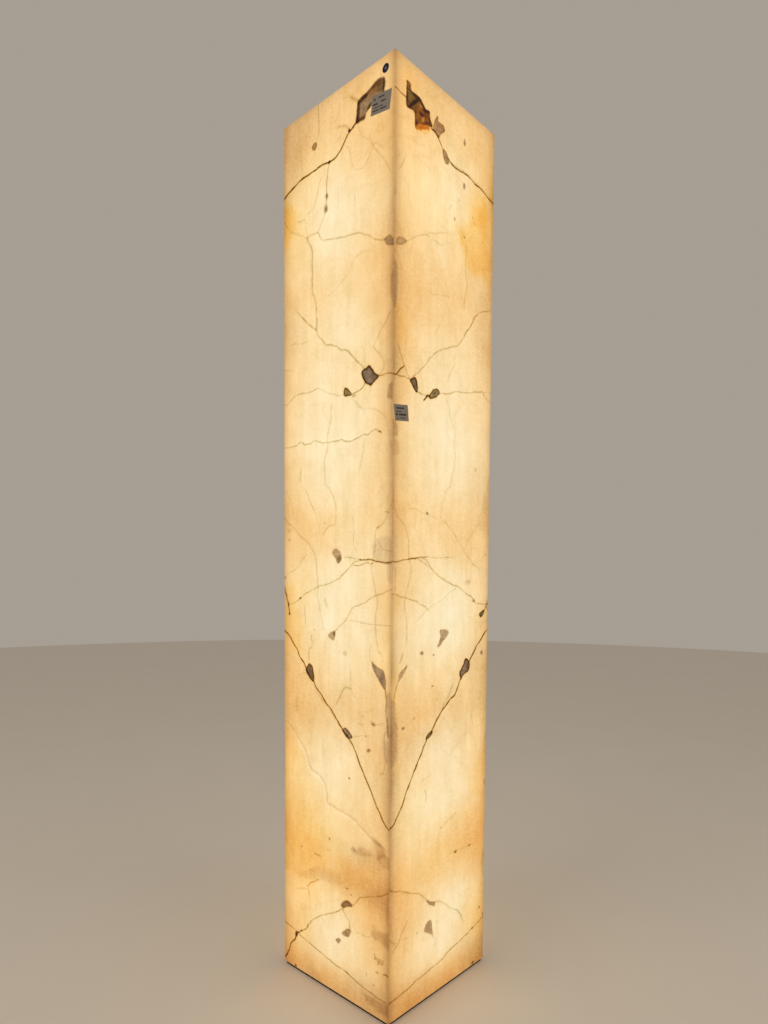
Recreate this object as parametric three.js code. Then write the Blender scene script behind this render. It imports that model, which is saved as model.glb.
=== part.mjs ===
// A lit onyx column: four book-matched onyx slabs, mitred at the corners and closed by a mitred lid,
// stand on a dark steel base plate round an inner lamp post. Paper labels are stuck on two slabs.
// Millimetres, +Z up. The origin is the middle of the footprint, at floor level. The front slab faces
// -Y and the right slab faces +X. The labels are beside the corner that those two slabs share.
import * as THREE from "three";

// Driving dimensions
const HEIGHT = 2000; // floor to the top of the lid
const SIDE = 350; // across two parallel faces
const SLAB = 20; // thickness of every onyx slab
const JOINT = 0.45; // resin line between two mitred edges, measured along a face
const ARRIS = 1.2; // flat sanded on each outer edge: how far it draws the face's outline in
const FIT = 0.3; // room between pieces that stand on each other
const PLATE = { thickness: 6, inset: 3 }; // base plate, and how far it stays behind the slabs
const POST = { side: 40, wall: 3, round: 4, top: 1900 }; // square tube that carries the lights
const FOOT = { side: 110, thickness: 5 }; // flange under the post
const STRIP = { width: 14, thickness: 2, low: 60, high: 1860 }; // light strip on each side of the post
const LABEL = { thickness: 0.3, gap: 0.1 }; // paper, and the glue behind it
const SHEET_LABEL = { width: 54, height: 38, across: 137.5, up: 1913, tilt: 0.16 };
const TAG_LABEL = { width: 43, height: 33, across: -148.5, up: 1295, tilt: -0.13 };
const DOT = { radius: 9, segments: 32, across: 149.5, up: 1974 };

const HALF = SIDE / 2;
const ON_PLATE = PLATE.thickness + FIT; // height at which the slabs and the foot stand

const finish = (color, roughness, metalness = 0) =>
  new THREE.MeshStandardMaterial({ color, roughness, metalness });
const onyx = finish(0xf3cf93, 0.22);
const darkSteel = finish(0x2a1c12, 0.45, 0.6);
const aluminium = finish(0xb9bcc0, 0.4, 0.9);
const lightStrip = finish(0xfff1cf, 0.5);
const greyPaper = finish(0x86817a, 0.8);
const bluePaper = finish(0x1c2a78, 0.6);

function named(name, geometry, material) {
  const mesh = new THREE.Mesh(geometry, material);
  mesh.name = name;
  return mesh;
}

// A closed solid through rings of four corners each, with a flat end on the first and the last.
// Corners run anticlockwise when seen from outside the first ring.
function throughRings(rings) {
  const faces = [0, 1, 2, 0, 2, 3];
  for (let r = 0; r + 1 < rings.length; r++) {
    for (let k = 0; k < 4; k++) {
      const near = 4 * r + k;
      const next = 4 * r + ((k + 1) % 4);
      faces.push(near, near + 4, next + 4, near, next + 4, next);
    }
  }
  const last = 4 * (rings.length - 1);
  faces.push(last, last + 2, last + 1, last, last + 3, last + 2);
  const geometry = new THREE.BufferGeometry();
  geometry.setAttribute("position", new THREE.Float32BufferAttribute(rings.flat(2), 3));
  geometry.setIndex(faces);
  geometry.computeVertexNormals();
  return geometry;
}

// Half the width of a slab at a depth behind its outer face. Mitred edges draw in by the depth,
// and the arris draws the outer face in a little further.
function mitredHalf(depth, arris) {
  return HALF - JOINT / 2 - Math.max(depth, arris);
}

// Side slab in the front position. Its bottom edge is square, the other three are mitred.
function sideSlab() {
  const ring = (depth, arris) => {
    const half = mitredHalf(depth, arris);
    const low = ON_PLATE + Math.max(0, arris - depth);
    const high = HEIGHT - HALF + half;
    const y = depth - HALF;
    return [[-half, y, low], [half, y, low], [half, y, high], [-half, y, high]];
  };
  return throughRings([ring(0, ARRIS), ring(ARRIS / 2, 0), ring(SLAB, 0)]);
}

// The lid drops between the mitred top edges of the side slabs and is flush with the top.
function lidSlab() {
  const ring = (depth, arris) => {
    const half = mitredHalf(depth, arris);
    const z = HEIGHT - depth;
    return [[-half, -half, z], [half, -half, z], [half, half, z], [-half, half, z]];
  };
  return throughRings([ring(0, ARRIS), ring(ARRIS / 2, 0), ring(SLAB, 0)]);
}

function roundedSquare(outline, side, radius) {
  const flat = side / 2 - radius;
  outline.moveTo(-flat, -side / 2);
  outline.absarc(flat, -flat, radius, -Math.PI / 2, 0, false);
  outline.absarc(flat, flat, radius, 0, Math.PI / 2, false);
  outline.absarc(-flat, flat, radius, Math.PI / 2, Math.PI, false);
  outline.absarc(-flat, -flat, radius, Math.PI, 1.5 * Math.PI, false);
  return outline;
}

function lampPost(bottom) {
  const section = roundedSquare(new THREE.Shape(), POST.side, POST.round);
  section.holes.push(roundedSquare(new THREE.Path(), POST.side - 2 * POST.wall, POST.round - POST.wall));
  const depth = POST.top - bottom;
  const tube = new THREE.ExtrudeGeometry(section, { depth, bevelEnabled: false, curveSegments: 4 });
  return tube.translate(0, 0, bottom);
}

// Paper on the front position's slab, at a place measured from the slab's middle and from the floor.
function stuck(name, geometry, material, place) {
  const mesh = named(name, geometry, material);
  mesh.position.set(place.across, -HALF - LABEL.gap - LABEL.thickness / 2, place.up);
  mesh.rotation.y = place.tilt ?? 0;
  return mesh;
}

const column = new THREE.Group();
const plateSide = SIDE - 2 * PLATE.inset;
const plate = new THREE.BoxGeometry(plateSide, plateSide, PLATE.thickness);
column.add(named("base_plate", plate.translate(0, 0, PLATE.thickness / 2), darkSteel));

// The four sides, each a turned copy of the front one, with the light strip behind it.
const sides = {};
["front", "right", "back", "left"].forEach((side, k) => {
  const turned = new THREE.Group();
  turned.rotation.z = (k * Math.PI) / 2;
  turned.add(named(`slab_${side}`, sideSlab(), onyx));
  const strip = new THREE.BoxGeometry(STRIP.width, STRIP.thickness, STRIP.high - STRIP.low);
  strip.translate(0, -POST.side / 2 - FIT - STRIP.thickness / 2, (STRIP.high + STRIP.low) / 2);
  turned.add(named(`light_strip_${side}`, strip, lightStrip));
  sides[side] = turned;
  column.add(turned);
});
column.add(named("lid_slab", lidSlab(), onyx));

// Foot and post of the lamp, standing on the base plate.
const foot = new THREE.BoxGeometry(FOOT.side, FOOT.side, FOOT.thickness);
column.add(named("lamp_foot", foot.translate(0, 0, ON_PLATE + FOOT.thickness / 2), aluminium));
column.add(named("lamp_post", lampPost(ON_PLATE + FOOT.thickness + FIT), aluminium));

const sheet = new THREE.BoxGeometry(SHEET_LABEL.width, LABEL.thickness, SHEET_LABEL.height);
const tag = new THREE.BoxGeometry(TAG_LABEL.width, LABEL.thickness, TAG_LABEL.height);
const dot = new THREE.CylinderGeometry(DOT.radius, DOT.radius, LABEL.thickness, DOT.segments);
sides.front.add(stuck("sheet_label", sheet, greyPaper, SHEET_LABEL));
sides.front.add(stuck("dot_label", dot, bluePaper, DOT));
sides.right.add(stuck("tag_label", tag, greyPaper, TAG_LABEL));

export default column;
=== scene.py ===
"""Dresses the lit onyx column: four book-matched slabs, a lid, a base plate, a lamp and paper labels."""

import logging
import math
import random
from dataclasses import dataclass, field, replace
from enum import Enum
from typing import Any, Optional, Sequence, Union

import bmesh
import bpy
from mathutils import Matrix, Vector, noise
from mathutils.geometry import interpolate_bezier
from mathutils.kdtree import KDTree


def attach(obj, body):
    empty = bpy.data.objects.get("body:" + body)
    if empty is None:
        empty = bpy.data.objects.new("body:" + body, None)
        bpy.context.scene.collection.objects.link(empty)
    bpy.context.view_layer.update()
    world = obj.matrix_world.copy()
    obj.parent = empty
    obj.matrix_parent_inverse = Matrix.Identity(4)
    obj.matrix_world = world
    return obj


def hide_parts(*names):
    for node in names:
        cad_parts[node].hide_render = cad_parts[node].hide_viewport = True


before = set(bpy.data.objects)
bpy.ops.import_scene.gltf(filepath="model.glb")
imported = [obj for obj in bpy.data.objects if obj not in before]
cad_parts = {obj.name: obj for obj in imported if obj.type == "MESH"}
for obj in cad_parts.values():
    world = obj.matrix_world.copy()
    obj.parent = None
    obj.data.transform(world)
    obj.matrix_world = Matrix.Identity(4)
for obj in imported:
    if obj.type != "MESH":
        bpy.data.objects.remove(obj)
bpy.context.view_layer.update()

log = logging.getLogger("onyx_column")

MM = 0.001
NOISE_SPREAD = 2.6  # brings noise from 0 to 1 to about -1 to 1
SEED_STEP = 7.31  # how far apart two seeds' noises are read
Point = tuple[float, float]
Triple = tuple[float, float, float]
Number = Union[int, float]


# ---- shader maths


class Value:
    """A number socket that Python's operators turn into Math nodes."""

    def __init__(self, shader: "Shader", socket: bpy.types.NodeSocket) -> None:
        """Wraps a socket.

        Args:
            shader: the shader whose node tree the socket is in.
            socket: an output socket that gives one number.
        """
        self.shader = shader
        self.socket = socket

    def _math(self, operation: str, *values: "Value | Number", clamp: bool = False) -> "Value":
        """Adds one Math node.

        Args:
            operation: the Math node's operation.
            values: its inputs, in order.
            clamp: whether the result is kept between 0 and 1.

        Returns:
            The node's result.
        """
        settings = {"operation": operation, "use_clamp": clamp}
        return Value(self.shader, self.shader.node("ShaderNodeMath", settings, dict(enumerate(values)))[0])

    def __add__(self, other: "Value | Number") -> "Value":
        """self + other."""
        return self._math("ADD", self, other)

    def __mul__(self, other: "Value | Number") -> "Value":
        """self * other."""
        return self._math("MULTIPLY", self, other)

    def __sub__(self, other: "Value | Number") -> "Value":
        """self - other."""
        return self._math("SUBTRACT", self, other)

    def __rsub__(self, other: Number) -> "Value":
        """other - self."""
        return self._math("SUBTRACT", other, self)

    def __truediv__(self, other: "Value | Number") -> "Value":
        """self / other."""
        return self._math("DIVIDE", self, other)

    def __rpow__(self, other: Number) -> "Value":
        """other ** self."""
        return self._math("POWER", other, self)

    def clamped(self) -> "Value":
        """self kept between 0 and 1."""
        return self._math("ADD", self, 0.0, clamp=True)

    def least(self, other: "Value | Number") -> "Value":
        """The smaller of self and other."""
        return self._math("MINIMUM", self, other)


class Shader:
    """One material and its node tree, ending in a Principled shader."""

    def __init__(self, name: str) -> None:
        """Makes the material.

        Args:
            name: the material's name.
        """
        self.material = bpy.data.materials.new(name)
        self.material.use_nodes = True
        self.tree = self.material.node_tree
        self.tree.nodes.clear()
        self.principled = self.tree.nodes.new("ShaderNodeBsdfPrincipled")
        output = self.tree.nodes.new("ShaderNodeOutputMaterial")
        self.tree.links.new(self.principled.outputs[0], output.inputs["Surface"])

    def node(
        self, kind: str, settings: Optional[dict[str, Any]] = None, inputs: Optional[dict[Any, Any]] = None
    ) -> bpy.types.NodeOutputs:
        """Adds any node.

        Args:
            kind: the node's type.
            settings: its properties, which are set first.
            inputs: a value, a Value or an output socket for each input, by name or place.

        Returns:
            The node's output sockets.
        """
        made = self.tree.nodes.new(kind)
        for key, value in (settings or {}).items():
            setattr(made, key, value)
        for key, value in (inputs or {}).items():
            self._feed(made.inputs[key], value)
        return made.outputs

    def _feed(self, socket: bpy.types.NodeSocket, value: Any) -> None:
        """Links or sets one input.

        Args:
            socket: the input.
            value: a Value, an output socket, a number or a colour.
        """
        if isinstance(value, Value):
            self.tree.links.new(value.socket, socket)
        elif isinstance(value, bpy.types.NodeSocket):
            self.tree.links.new(value, socket)
        elif isinstance(value, tuple) and len(value) == 3 and socket.type == "RGBA":
            socket.default_value = (*value, 1.0)
        else:
            socket.default_value = value

    def surface(self, **inputs: Any) -> None:
        """Sets or links the Principled shader's inputs.

        Args:
            inputs: a value for each socket, its name in lower case with low lines for spaces.
        """
        for key, value in inputs.items():
            name = key.replace("_", " ").title().replace("Ior", "IOR")
            self._feed(self.principled.inputs[name], value)

    def attribute(self, name: str) -> bpy.types.NodeOutputs:
        """A mesh attribute's outputs: Color, Vector and Fac."""
        return self.node("ShaderNodeAttribute", {"attribute_name": name})

    def place(self) -> bpy.types.NodeSocket:
        """Object coordinates, in metres."""
        return self.node("ShaderNodeTexCoord")["Object"]

    def stretched(self, place: bpy.types.NodeSocket, by: Triple) -> bpy.types.NodeSocket:
        """A place times a vector, which stretches a pattern.

        Args:
            place: the place.
            by: the factor along each axis.

        Returns:
            The stretched place.
        """
        return self.node("ShaderNodeVectorMath", {"operation": "MULTIPLY"}, {0: place, 1: by})["Vector"]

    def cloud(self, place: bpy.types.NodeSocket, scale: float, detail: float, rough: float = 0.5) -> Value:
        """Noise about zero, from about -1 to 1.

        Args:
            place: where the noise is read.
            scale: waves per metre.
            detail: how many finer layers it has.
            rough: how strong the finer layers are.

        Returns:
            The noise.
        """
        inputs = {"Vector": place, "Scale": scale, "Detail": detail, "Roughness": rough}
        made = self.node("ShaderNodeTexNoise", {"noise_dimensions": "3D"}, inputs)
        return (Value(self, made["Fac"]) - 0.5) * NOISE_SPREAD

    def mixed(self, factor: Any, first: Any, second: Any, blend: str = "MIX") -> bpy.types.NodeSocket:
        """Two colours mixed.

        Args:
            factor: how much of the second shows.
            first: the colour underneath.
            second: the colour over it.
            blend: how they mix.

        Returns:
            The mixed colour.
        """
        settings = {"data_type": "RGBA", "blend_type": blend}
        return self.node("ShaderNodeMix", settings, {0: factor, 6: first, 7: second})[2]

    def bump(self, height: Value, distance: float, strength: float) -> bpy.types.NodeSocket:
        """A normal bent by a height.

        Args:
            height: the height, from 0 to 1.
            distance: what a height of 1 stands for, in metres.
            strength: how strongly it shows.

        Returns:
            The normal.
        """
        inputs = {"Height": height, "Distance": distance, "Strength": strength}
        return self.node("ShaderNodeBump", {}, inputs)[0]


# ---- finishes


@dataclass(frozen=True)
class Grain:
    """One layer of a fine pattern."""

    scale: float  # waves per metre
    detail: float  # how many finer layers it has
    rough: float = 0.6  # how strong the finer layers are
    stretch: Triple = (1.0, 1.0, 1.0)

    def read(self, shader: Shader, place: bpy.types.NodeSocket) -> Value:
        """The pattern at a place, from about -1 to 1."""
        return shader.cloud(shader.stretched(place, self.stretch), self.scale, self.detail, self.rough)


@dataclass(frozen=True)
class LitOnyx:
    """Polished honey onyx with light behind it. Each thing in its way takes some of the light."""

    lamp: Triple = (0.965, 0.81, 0.515)  # the light through clean stone
    warm: Triple = (0.07, 0.31, 0.70)  # what thicker stone takes, by channel
    dust: Triple = (0.58, 0.70, 1.12)  # what the fine grain takes
    joint: Triple = (0.56, 0.64, 0.68)  # what the painted shade beside the joints, under the lid and above the base plate takes, by channel
    flank: Triple = (0.05, 0.17, 0.37)  # what the wider painted shade over the stone beside the joints takes, by channel
    skin: Triple = (0.62, 0.62, 0.62)  # how much of the light's colour the unlit surface has
    clouds: Grain = Grain(4.2, 4.0, 0.62)
    mottle: Grain = Grain(26.0, 5.0, 0.62, (1.0, 0.6, 1.0))
    streaks: Grain = Grain(70.0, 3.0, 0.6, (1.0, 0.07, 1.0))
    fibres: Grain = Grain(190.0, 3.0, 0.6, (0.6, 1.0, 1.0))
    upright_hairs: Grain = Grain(8.0, 4.0, 0.55, (1.0, 0.4, 1.0))
    level_hairs: Grain = Grain(6.0, 4.0, 0.55, (0.6, 1.0, 2.0))
    cloudy: float = 0.50  # how far the clouds change the stone's warmth
    fine: tuple[float, ...] = (0.14, 0.11, 0.09, 0.13)  # strength of mottle, streaks, fibres and hairs
    broken: tuple[float, float] = (0.30, 0.22)  # how far fibres and mottle break the markings up
    hair_fineness: float = 1500.0
    joint_grain: Grain = Grain(13.0, 4.0, 0.6, (0.2, 1.0, 1.0))
    joint_reach: float = 0.0118  # how far a joint's shade reaches over a face, in metres
    joint_stray: float = 0.0045  # how much that reach changes along the joint
    far_joint: float = 0.78  # the far joint's shade, where the matched corner's is 1
    flank_reach: float = 0.055
    lid_shade: tuple[float, float] = (0.45, -75.0)  # its strength at the lid, and how it fades per metre
    foot_shade: tuple[float, float] = (0.55, -22.0)
    give: float = 0.70  # strength of the light that comes through
    roughness: float = 0.20
    width: float = 0.35
    height: float = 2.0

    def build(self) -> bpy.types.Material:
        """Makes the material.

        Returns:
            The material. It reads the attributes stain and grain.
        """
        shader = Shader("lit_onyx")
        grain = shader.attribute("grain")["Vector"]
        across, up, _ = self._split(shader, grain)
        stain = self._split(shader, shader.attribute("stain")["Vector"])
        mottle, fibres = self.mottle.read(shader, grain), self.fibres.read(shader, grain)
        streaks, clouds = self.streaks.read(shader, grain), self.clouds.read(shader, grain)
        hairs = self._hairs(shader, grain, self.upright_hairs) + self._hairs(shader, grain, self.level_hairs)
        of_mottle, of_streaks, of_fibres, of_hairs = self.fine
        fine = mottle * of_mottle + streaks * of_streaks + fibres * of_fibres + hairs * of_hairs
        shade, flank = self._joints(shader, grain, across, up)
        through = []
        for channel, absorbed in enumerate(stain):
            uneven = absorbed * (fibres * self.broken[0] + mottle * self.broken[1] + 1.0)
            thick = clouds * (self.warm[channel] * self.cloudy) + fine * self.dust[channel]
            total = uneven + thick + shade * self.joint[channel] + flank * self.flank[channel]
            through.append(math.e ** (total * -1.0) * self.lamp[channel])
        colour = self._join(shader, through)
        shader.surface(
            base_color=shader.mixed(1.0, colour, self.skin, "MULTIPLY"),
            emission_color=colour,
            emission_strength=self.give,
            roughness=(mottle * 0.03 + self.roughness).clamped(),
            specular_ior_level=0.25,
        )
        return shader.material

    def _split(self, shader: Shader, vector: bpy.types.NodeSocket) -> tuple[Value, Value, Value]:
        """A vector's three numbers."""
        parts = shader.node("ShaderNodeSeparateXYZ", {}, {0: vector})
        return Value(shader, parts[0]), Value(shader, parts[1]), Value(shader, parts[2])

    def _join(self, shader: Shader, parts: Sequence[Value]) -> bpy.types.NodeSocket:
        """Three numbers as a colour."""
        return shader.node("ShaderNodeCombineColor", {}, dict(enumerate(parts)))[0]

    def _hairs(self, shader: Shader, grain: bpy.types.NodeSocket, winding: Grain) -> Value:
        """Long thin healed cracks that wind through the stone and come and go.

        Args:
            shader: the shader.
            grain: the place in the stone.
            winding: the pattern that they follow.

        Returns:
            The cracks: 1 on the plainest of them, 0 between.
        """
        drift = winding.read(shader, grain)
        shown = (shader.cloud(grain, winding.scale * 0.7, 2.0) * 1.3 + 0.35).clamped()
        return math.e ** (drift * drift * -self.hair_fineness) * shown

    def _joints(
        self, shader: Shader, grain: bpy.types.NodeSocket, across: Value, up: Value
    ) -> tuple[Value, Value]:
        """The shade beside the mitred joints, the lid and the base plate.

        Args:
            shader: the shader.
            grain: the place in the stone.
            across: metres from the matched corner.
            up: metres above the floor.

        Returns:
            The shade right at a joint, about 1 there, and the wider one over the stone beside it.
        """
        outer = self.width - across
        sides = across.least(outer)
        wide = self.joint_grain.read(shader, grain) * self.joint_stray + self.joint_reach
        beside = math.e ** (across / wide * -1.0) + math.e ** (outer / wide * -1.0) * self.far_joint
        under = math.e ** ((self.height - up) * self.lid_shade[1]) * self.lid_shade[0]
        above = math.e ** (up * self.foot_shade[1]) * self.foot_shade[0]
        return beside + under + above, math.e ** (sides * (-1.0 / self.flank_reach))


@dataclass(frozen=True)
class Paint:
    """Paint or anodising on metal: a colour with fine grain, worn to another here and there."""

    name: str
    colour: Triple
    worn: Triple
    roughness: float
    metallic: float
    grain: Grain = Grain(140.0, 5.0)
    patches: Grain = Grain(14.0, 4.0)
    wear: float = 0.28  # how much of the worn colour shows
    swing: float = 0.25  # how far the grain and the patches each change that
    grain_height: float = 0.0002

    def build(self) -> bpy.types.Material:
        """Makes the material.

        Returns:
            The material.
        """
        shader = Shader(self.name)
        grain = self.grain.read(shader, shader.place())
        patches = self.patches.read(shader, shader.place())
        worn = (grain * self.swing + patches * self.swing + self.wear).clamped()
        shader.surface(
            base_color=shader.mixed(worn, self.colour, self.worn),
            roughness=(grain * 0.06 + patches * 0.05 + self.roughness).clamped(),
            metallic=self.metallic,
            normal=shader.bump(grain * 0.5 + 0.5, self.grain_height, 0.35),
        )
        return shader.material


@dataclass(frozen=True)
class Diffuser:
    """Opal cover of a light strip."""

    colour: Triple = (1.0, 0.86, 0.62)
    bright: Triple = (1.0, 0.93, 0.78)
    dots: Grain = Grain(60.0, 2.0, 0.5)
    glow: float = 0.8

    def build(self) -> bpy.types.Material:
        """Makes the material.

        Returns:
            The material.
        """
        shader = Shader("opal_diffuser")
        dots = self.dots.read(shader, shader.place())
        colour = shader.mixed((dots * 0.3 + 0.5).clamped(), self.colour, self.bright)
        shader.surface(base_color=colour, emission_color=colour, emission_strength=self.glow, roughness=0.5)
        shader.material.cycles.emission_sampling = "NONE"
        return shader.material


@dataclass(frozen=True)
class Paper:
    """Printed paper: a ground colour and ink where the attribute ink says."""

    name: str
    ground: Triple
    ink: Triple
    roughness: float = 0.6
    fibre: Grain = Grain(900.0, 4.0, 0.65)
    soil: Grain = Grain(55.0, 4.0)
    soiled: float = 0.62  # how light the soiled ground is beside the clean one
    fibre_height: float = 0.0001

    def build(self) -> bpy.types.Material:
        """Makes the material.

        Returns:
            The material.
        """
        shader = Shader(self.name)
        fibre = self.fibre.read(shader, shader.place())
        soil = (fibre * 0.10 + self.soil.read(shader, shader.place()) * 0.18 + 0.18).clamped()
        printed = Value(shader, shader.attribute("ink")["Fac"])
        ground = shader.mixed(soil, self.ground, tuple(c * self.soiled for c in self.ground))
        shader.surface(
            base_color=shader.mixed(printed, ground, self.ink),
            roughness=(self.roughness - printed * 0.15 + fibre * 0.05).clamped(),
            normal=shader.bump(fibre * 0.5 + 0.5, self.fibre_height, 0.3),
            specular_ior_level=0.2,
        )
        return shader.material


@dataclass(frozen=True)
class PaleFloor:
    """Plain pale matt floor."""

    colour: Triple = (0.84, 0.79, 0.72)
    dull: float = 0.9  # how light its duller stretches are beside the rest
    soft: Grain = Grain(3.0, 4.0, 0.55)

    def build(self) -> bpy.types.Material:
        """Makes the material.

        Returns:
            The material.
        """
        shader = Shader("pale_floor")
        share = (self.soft.read(shader, shader.place()) * 0.2 + 0.3).clamped()
        dull = tuple(c * self.dull for c in self.colour)
        shader.surface(base_color=shader.mixed(share, self.colour, dull), roughness=0.75)
        return shader.material


# ---- the stone's markings


class Pigment(Enum):
    """What marks the stone, as the light it takes from red, green and blue at full strength."""

    SOOT = (2.15, 2.9, 5.0)
    UMBER = (0.98, 1.06, 1.44)
    TAN = (0.35, 0.37, 0.58)
    SLATE = (1.08, 1.17, 1.04)
    FAWN = (0.74, 0.99, 1.18)
    HONEY = (0.015, 0.22, 0.86)
    RUST = (0.52, 1.08, 2.4)
    CHALK = (-0.10, -0.18, -0.34)
    # WARM paints the lamps' light and shade: below zero where a lamp shines through, above zero between the
    # lamps
    WARM = (0.07, 0.31, 0.70)


def smoothstep(value: float) -> float:
    """0 below 0, 1 above 1 and a soft step between."""
    held = min(1.0, max(0.0, value))
    return held * held * (3.0 - 2.0 * held)


def swirl(u: float, v: float, size: float, seed: float) -> float:
    """Seeded noise from about -1 to 1 over a face.

    Args:
        u: millimetres across.
        v: millimetres up.
        size: millimetres from one swell to the next.
        seed: which noise.

    Returns:
        The noise.
    """
    return noise.noise(Vector((u / size, v / size, seed * SEED_STEP)))


def rounded(points: Sequence[Point], step: float, closed: bool) -> list[Point]:
    """A smooth line through points, by Catmull-Rom tangents.

    Args:
        points: the points.
        step: millimetres between the line's own points.
        closed: whether the line comes back to its start.

    Returns:
        The line's points.
    """
    count = len(points)
    given = [Vector((*p, 0.0)) for p in points]

    def at(i: int) -> Vector:
        """The point at a place in the list, past its ends too."""
        return given[i % count if closed else min(max(i, 0), count - 1)]

    line: list[Point] = []
    for i in range(count if closed else count - 1):
        start, end = at(i), at(i + 1)
        pieces = max(2, round((end - start).length / step) + 1)
        first, second = start + (end - at(i - 1)) / 6, end - (at(i + 2) - start) / 6
        line += [(p.x, p.y) for p in interpolate_bezier(start, first, second, end, pieces)[:-1]]
    return line if closed else line + [points[-1]]


@dataclass(frozen=True)
class Vein:
    """A line in the stone."""

    pigment: Pigment
    width: float  # millimetres
    strength: float
    route: tuple[Point, ...]  # millimetres from the matched corner, millimetres up
    fade: tuple[float, float] = (0.0, 0.0)  # millimetres over which each end fades
    wander: float = 1.0  # millimetres it strays from its route
    shift: float = 0.0  # millimetres it lies to the left of its route


@dataclass(frozen=True)
class Inclusion:
    """A closed patch of other mineral."""

    core: Pigment
    strength: float
    outline: tuple[Point, ...]
    rim: float = 0.0  # strength of the dark line round it
    rim_width: float = 3.0
    soft: float = 2.5  # millimetres over which the core fades in
    inside: tuple["Spot", ...] = ()  # what marks the core


@dataclass(frozen=True)
class Spot:
    """An oval mark."""

    pigment: Pigment
    strength: float
    place: Point
    size: Point  # across and up, from edge to edge, before it is turned
    turn: float = 0.0  # degrees
    soft: float = 0.6  # 0 for a crisp edge, 1 for none


@dataclass(frozen=True)
class Leaf:
    """One sawn leaf of the block: everything that marks it."""

    veins: tuple[Vein, ...]
    inclusions: tuple[Inclusion, ...]
    spots: tuple[Spot, ...]
    washes: tuple[Spot, ...]  # broad soft tones; a WARM one below zero is painted light where a lamp shines through, one above zero painted shade
    dusk: float = 1.05  # painted shade: how warm and dim the stone shows between the lamps
    seed: int = 1
    bow: float = 0.0  # how far half-way up the slab the markings rise above their places here, in millimetres
    corner: float = 0.0  # extra shade at the matched corner

    def next_cut(self, seed: int, drift: float) -> "Leaf":
        """The leaf that was sawn behind this one, with the same markings a little changed.

        Args:
            seed: which change.
            drift: millimetres that markings move.

        Returns:
            The other leaf.
        """
        draw = random.Random(seed)

        def moved(point: Point) -> Point:
            """A point carried along by the drift.

            Args:
                point: the point.

            Returns:
                Its new place.
            """
            u, v = point
            across = swirl(u, v, 170.0, seed) * 1.6 + swirl(u, v, 45.0, seed + 0.3) * 0.5
            up = swirl(u, v, 170.0, seed + 0.6) * 1.6 + swirl(u, v, 45.0, seed + 0.9) * 0.5
            inner = min(1.0, u / EDGE_MM, (WIDTH_MM - u) / EDGE_MM) if 0 < u < WIDTH_MM else 0.0
            return (u + across * drift * inner, v + up * drift)

        def other(spot: Spot) -> Spot:
            """A spot moved, resized and turned.

            Args:
                spot: the spot.

            Returns:
                The other spot.
            """
            scale = draw.uniform(0.6, 1.3)
            size = (spot.size[0] * scale, spot.size[1] * scale * draw.uniform(0.8, 1.25))
            turn = spot.turn + draw.uniform(-25.0, 25.0)
            return replace(spot, place=moved(spot.place), size=size, turn=turn)

        veins = [
            replace(
                vein, route=tuple(moved(p) for p in vein.route),
                strength=vein.strength * draw.uniform(0.7, 1.15), width=vein.width * draw.uniform(0.8, 1.2),
            )
            for vein in self.veins
            if vein.strength > 0.7 or draw.random() < 0.85
        ]
        inclusions = []
        for patch in self.inclusions:
            corners = len(patch.outline)
            middle = Vector((sum(p[0] for p in patch.outline), sum(p[1] for p in patch.outline))) / corners
            scale = draw.uniform(0.6, 1.12)
            outline = []
            for point in patch.outline:
                reach = (Vector(point) - middle) * scale * draw.uniform(0.9, 1.12)
                outline.append(moved(tuple(middle + reach)))
            inclusions.append(replace(patch, outline=tuple(outline), inside=tuple(map(other, patch.inside))))
        return replace(
            self, veins=tuple(veins), inclusions=tuple(inclusions), seed=seed,
            spots=tuple(other(spot) for spot in self.spots if draw.random() < 0.8),
        )


WIDTH_MM = 350.0
HEIGHT_MM = 2000.0
EDGE_MM = 60.0  # how near a leaf's sides its markings are held in place from cut to cut
SOOT, UMBER, TAN, SLATE, FAWN, HONEY, RUST, CHALK, WARM = Pigment


def smudge(pigment: Pigment, strength: float, place: Point, size: Point, turn: float = 0.0) -> Spot:
    """An oval mark with very soft sides."""
    return Spot(pigment, strength, place, size, turn, 0.9)


def tones(pigment: Pigment, *rows: tuple[Any, ...]) -> tuple[Spot, ...]:
    """Broad tones of one pigment with no edge.

    Args:
        pigment: the pigment.
        rows: each tone's strength, place and size, and its turn where it has one.

    Returns:
        The tones.
    """
    return tuple(Spot(pigment, *row, soft=1.0) for row in rows)


def zone(
    pigment: Pigment, strength: float, soft: float, *outline: Point, inside: tuple[Spot, ...] = ()
) -> Inclusion:
    """A patch with soft sides and no rim.

    Args:
        pigment: what it is of.
        strength: its strength.
        soft: millimetres over which it fades in.
        outline: its corners.
        inside: what marks it.

    Returns:
        The patch.
    """
    return Inclusion(pigment, strength, outline, 0.0, 2.0, soft, inside)


def step_veins(route: tuple[Point, ...]) -> tuple[Vein, ...]:
    """A step inside the stone: its edge, with a painted highlight on one side and painted shade on the other.

    Args:
        route: the step's edge.

    Returns:
        Its lines.
    """
    return (
        Vein(CHALK, 6.0, 0.6, route, (20, 110), 2.2, 3.0),
        Vein(FAWN, 6.0, 0.2, route, (30, 60), 2.2, -3.0),
        Vein(UMBER, 1.7, 0.16, route, (20, 60), 2.2),
    )


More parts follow.
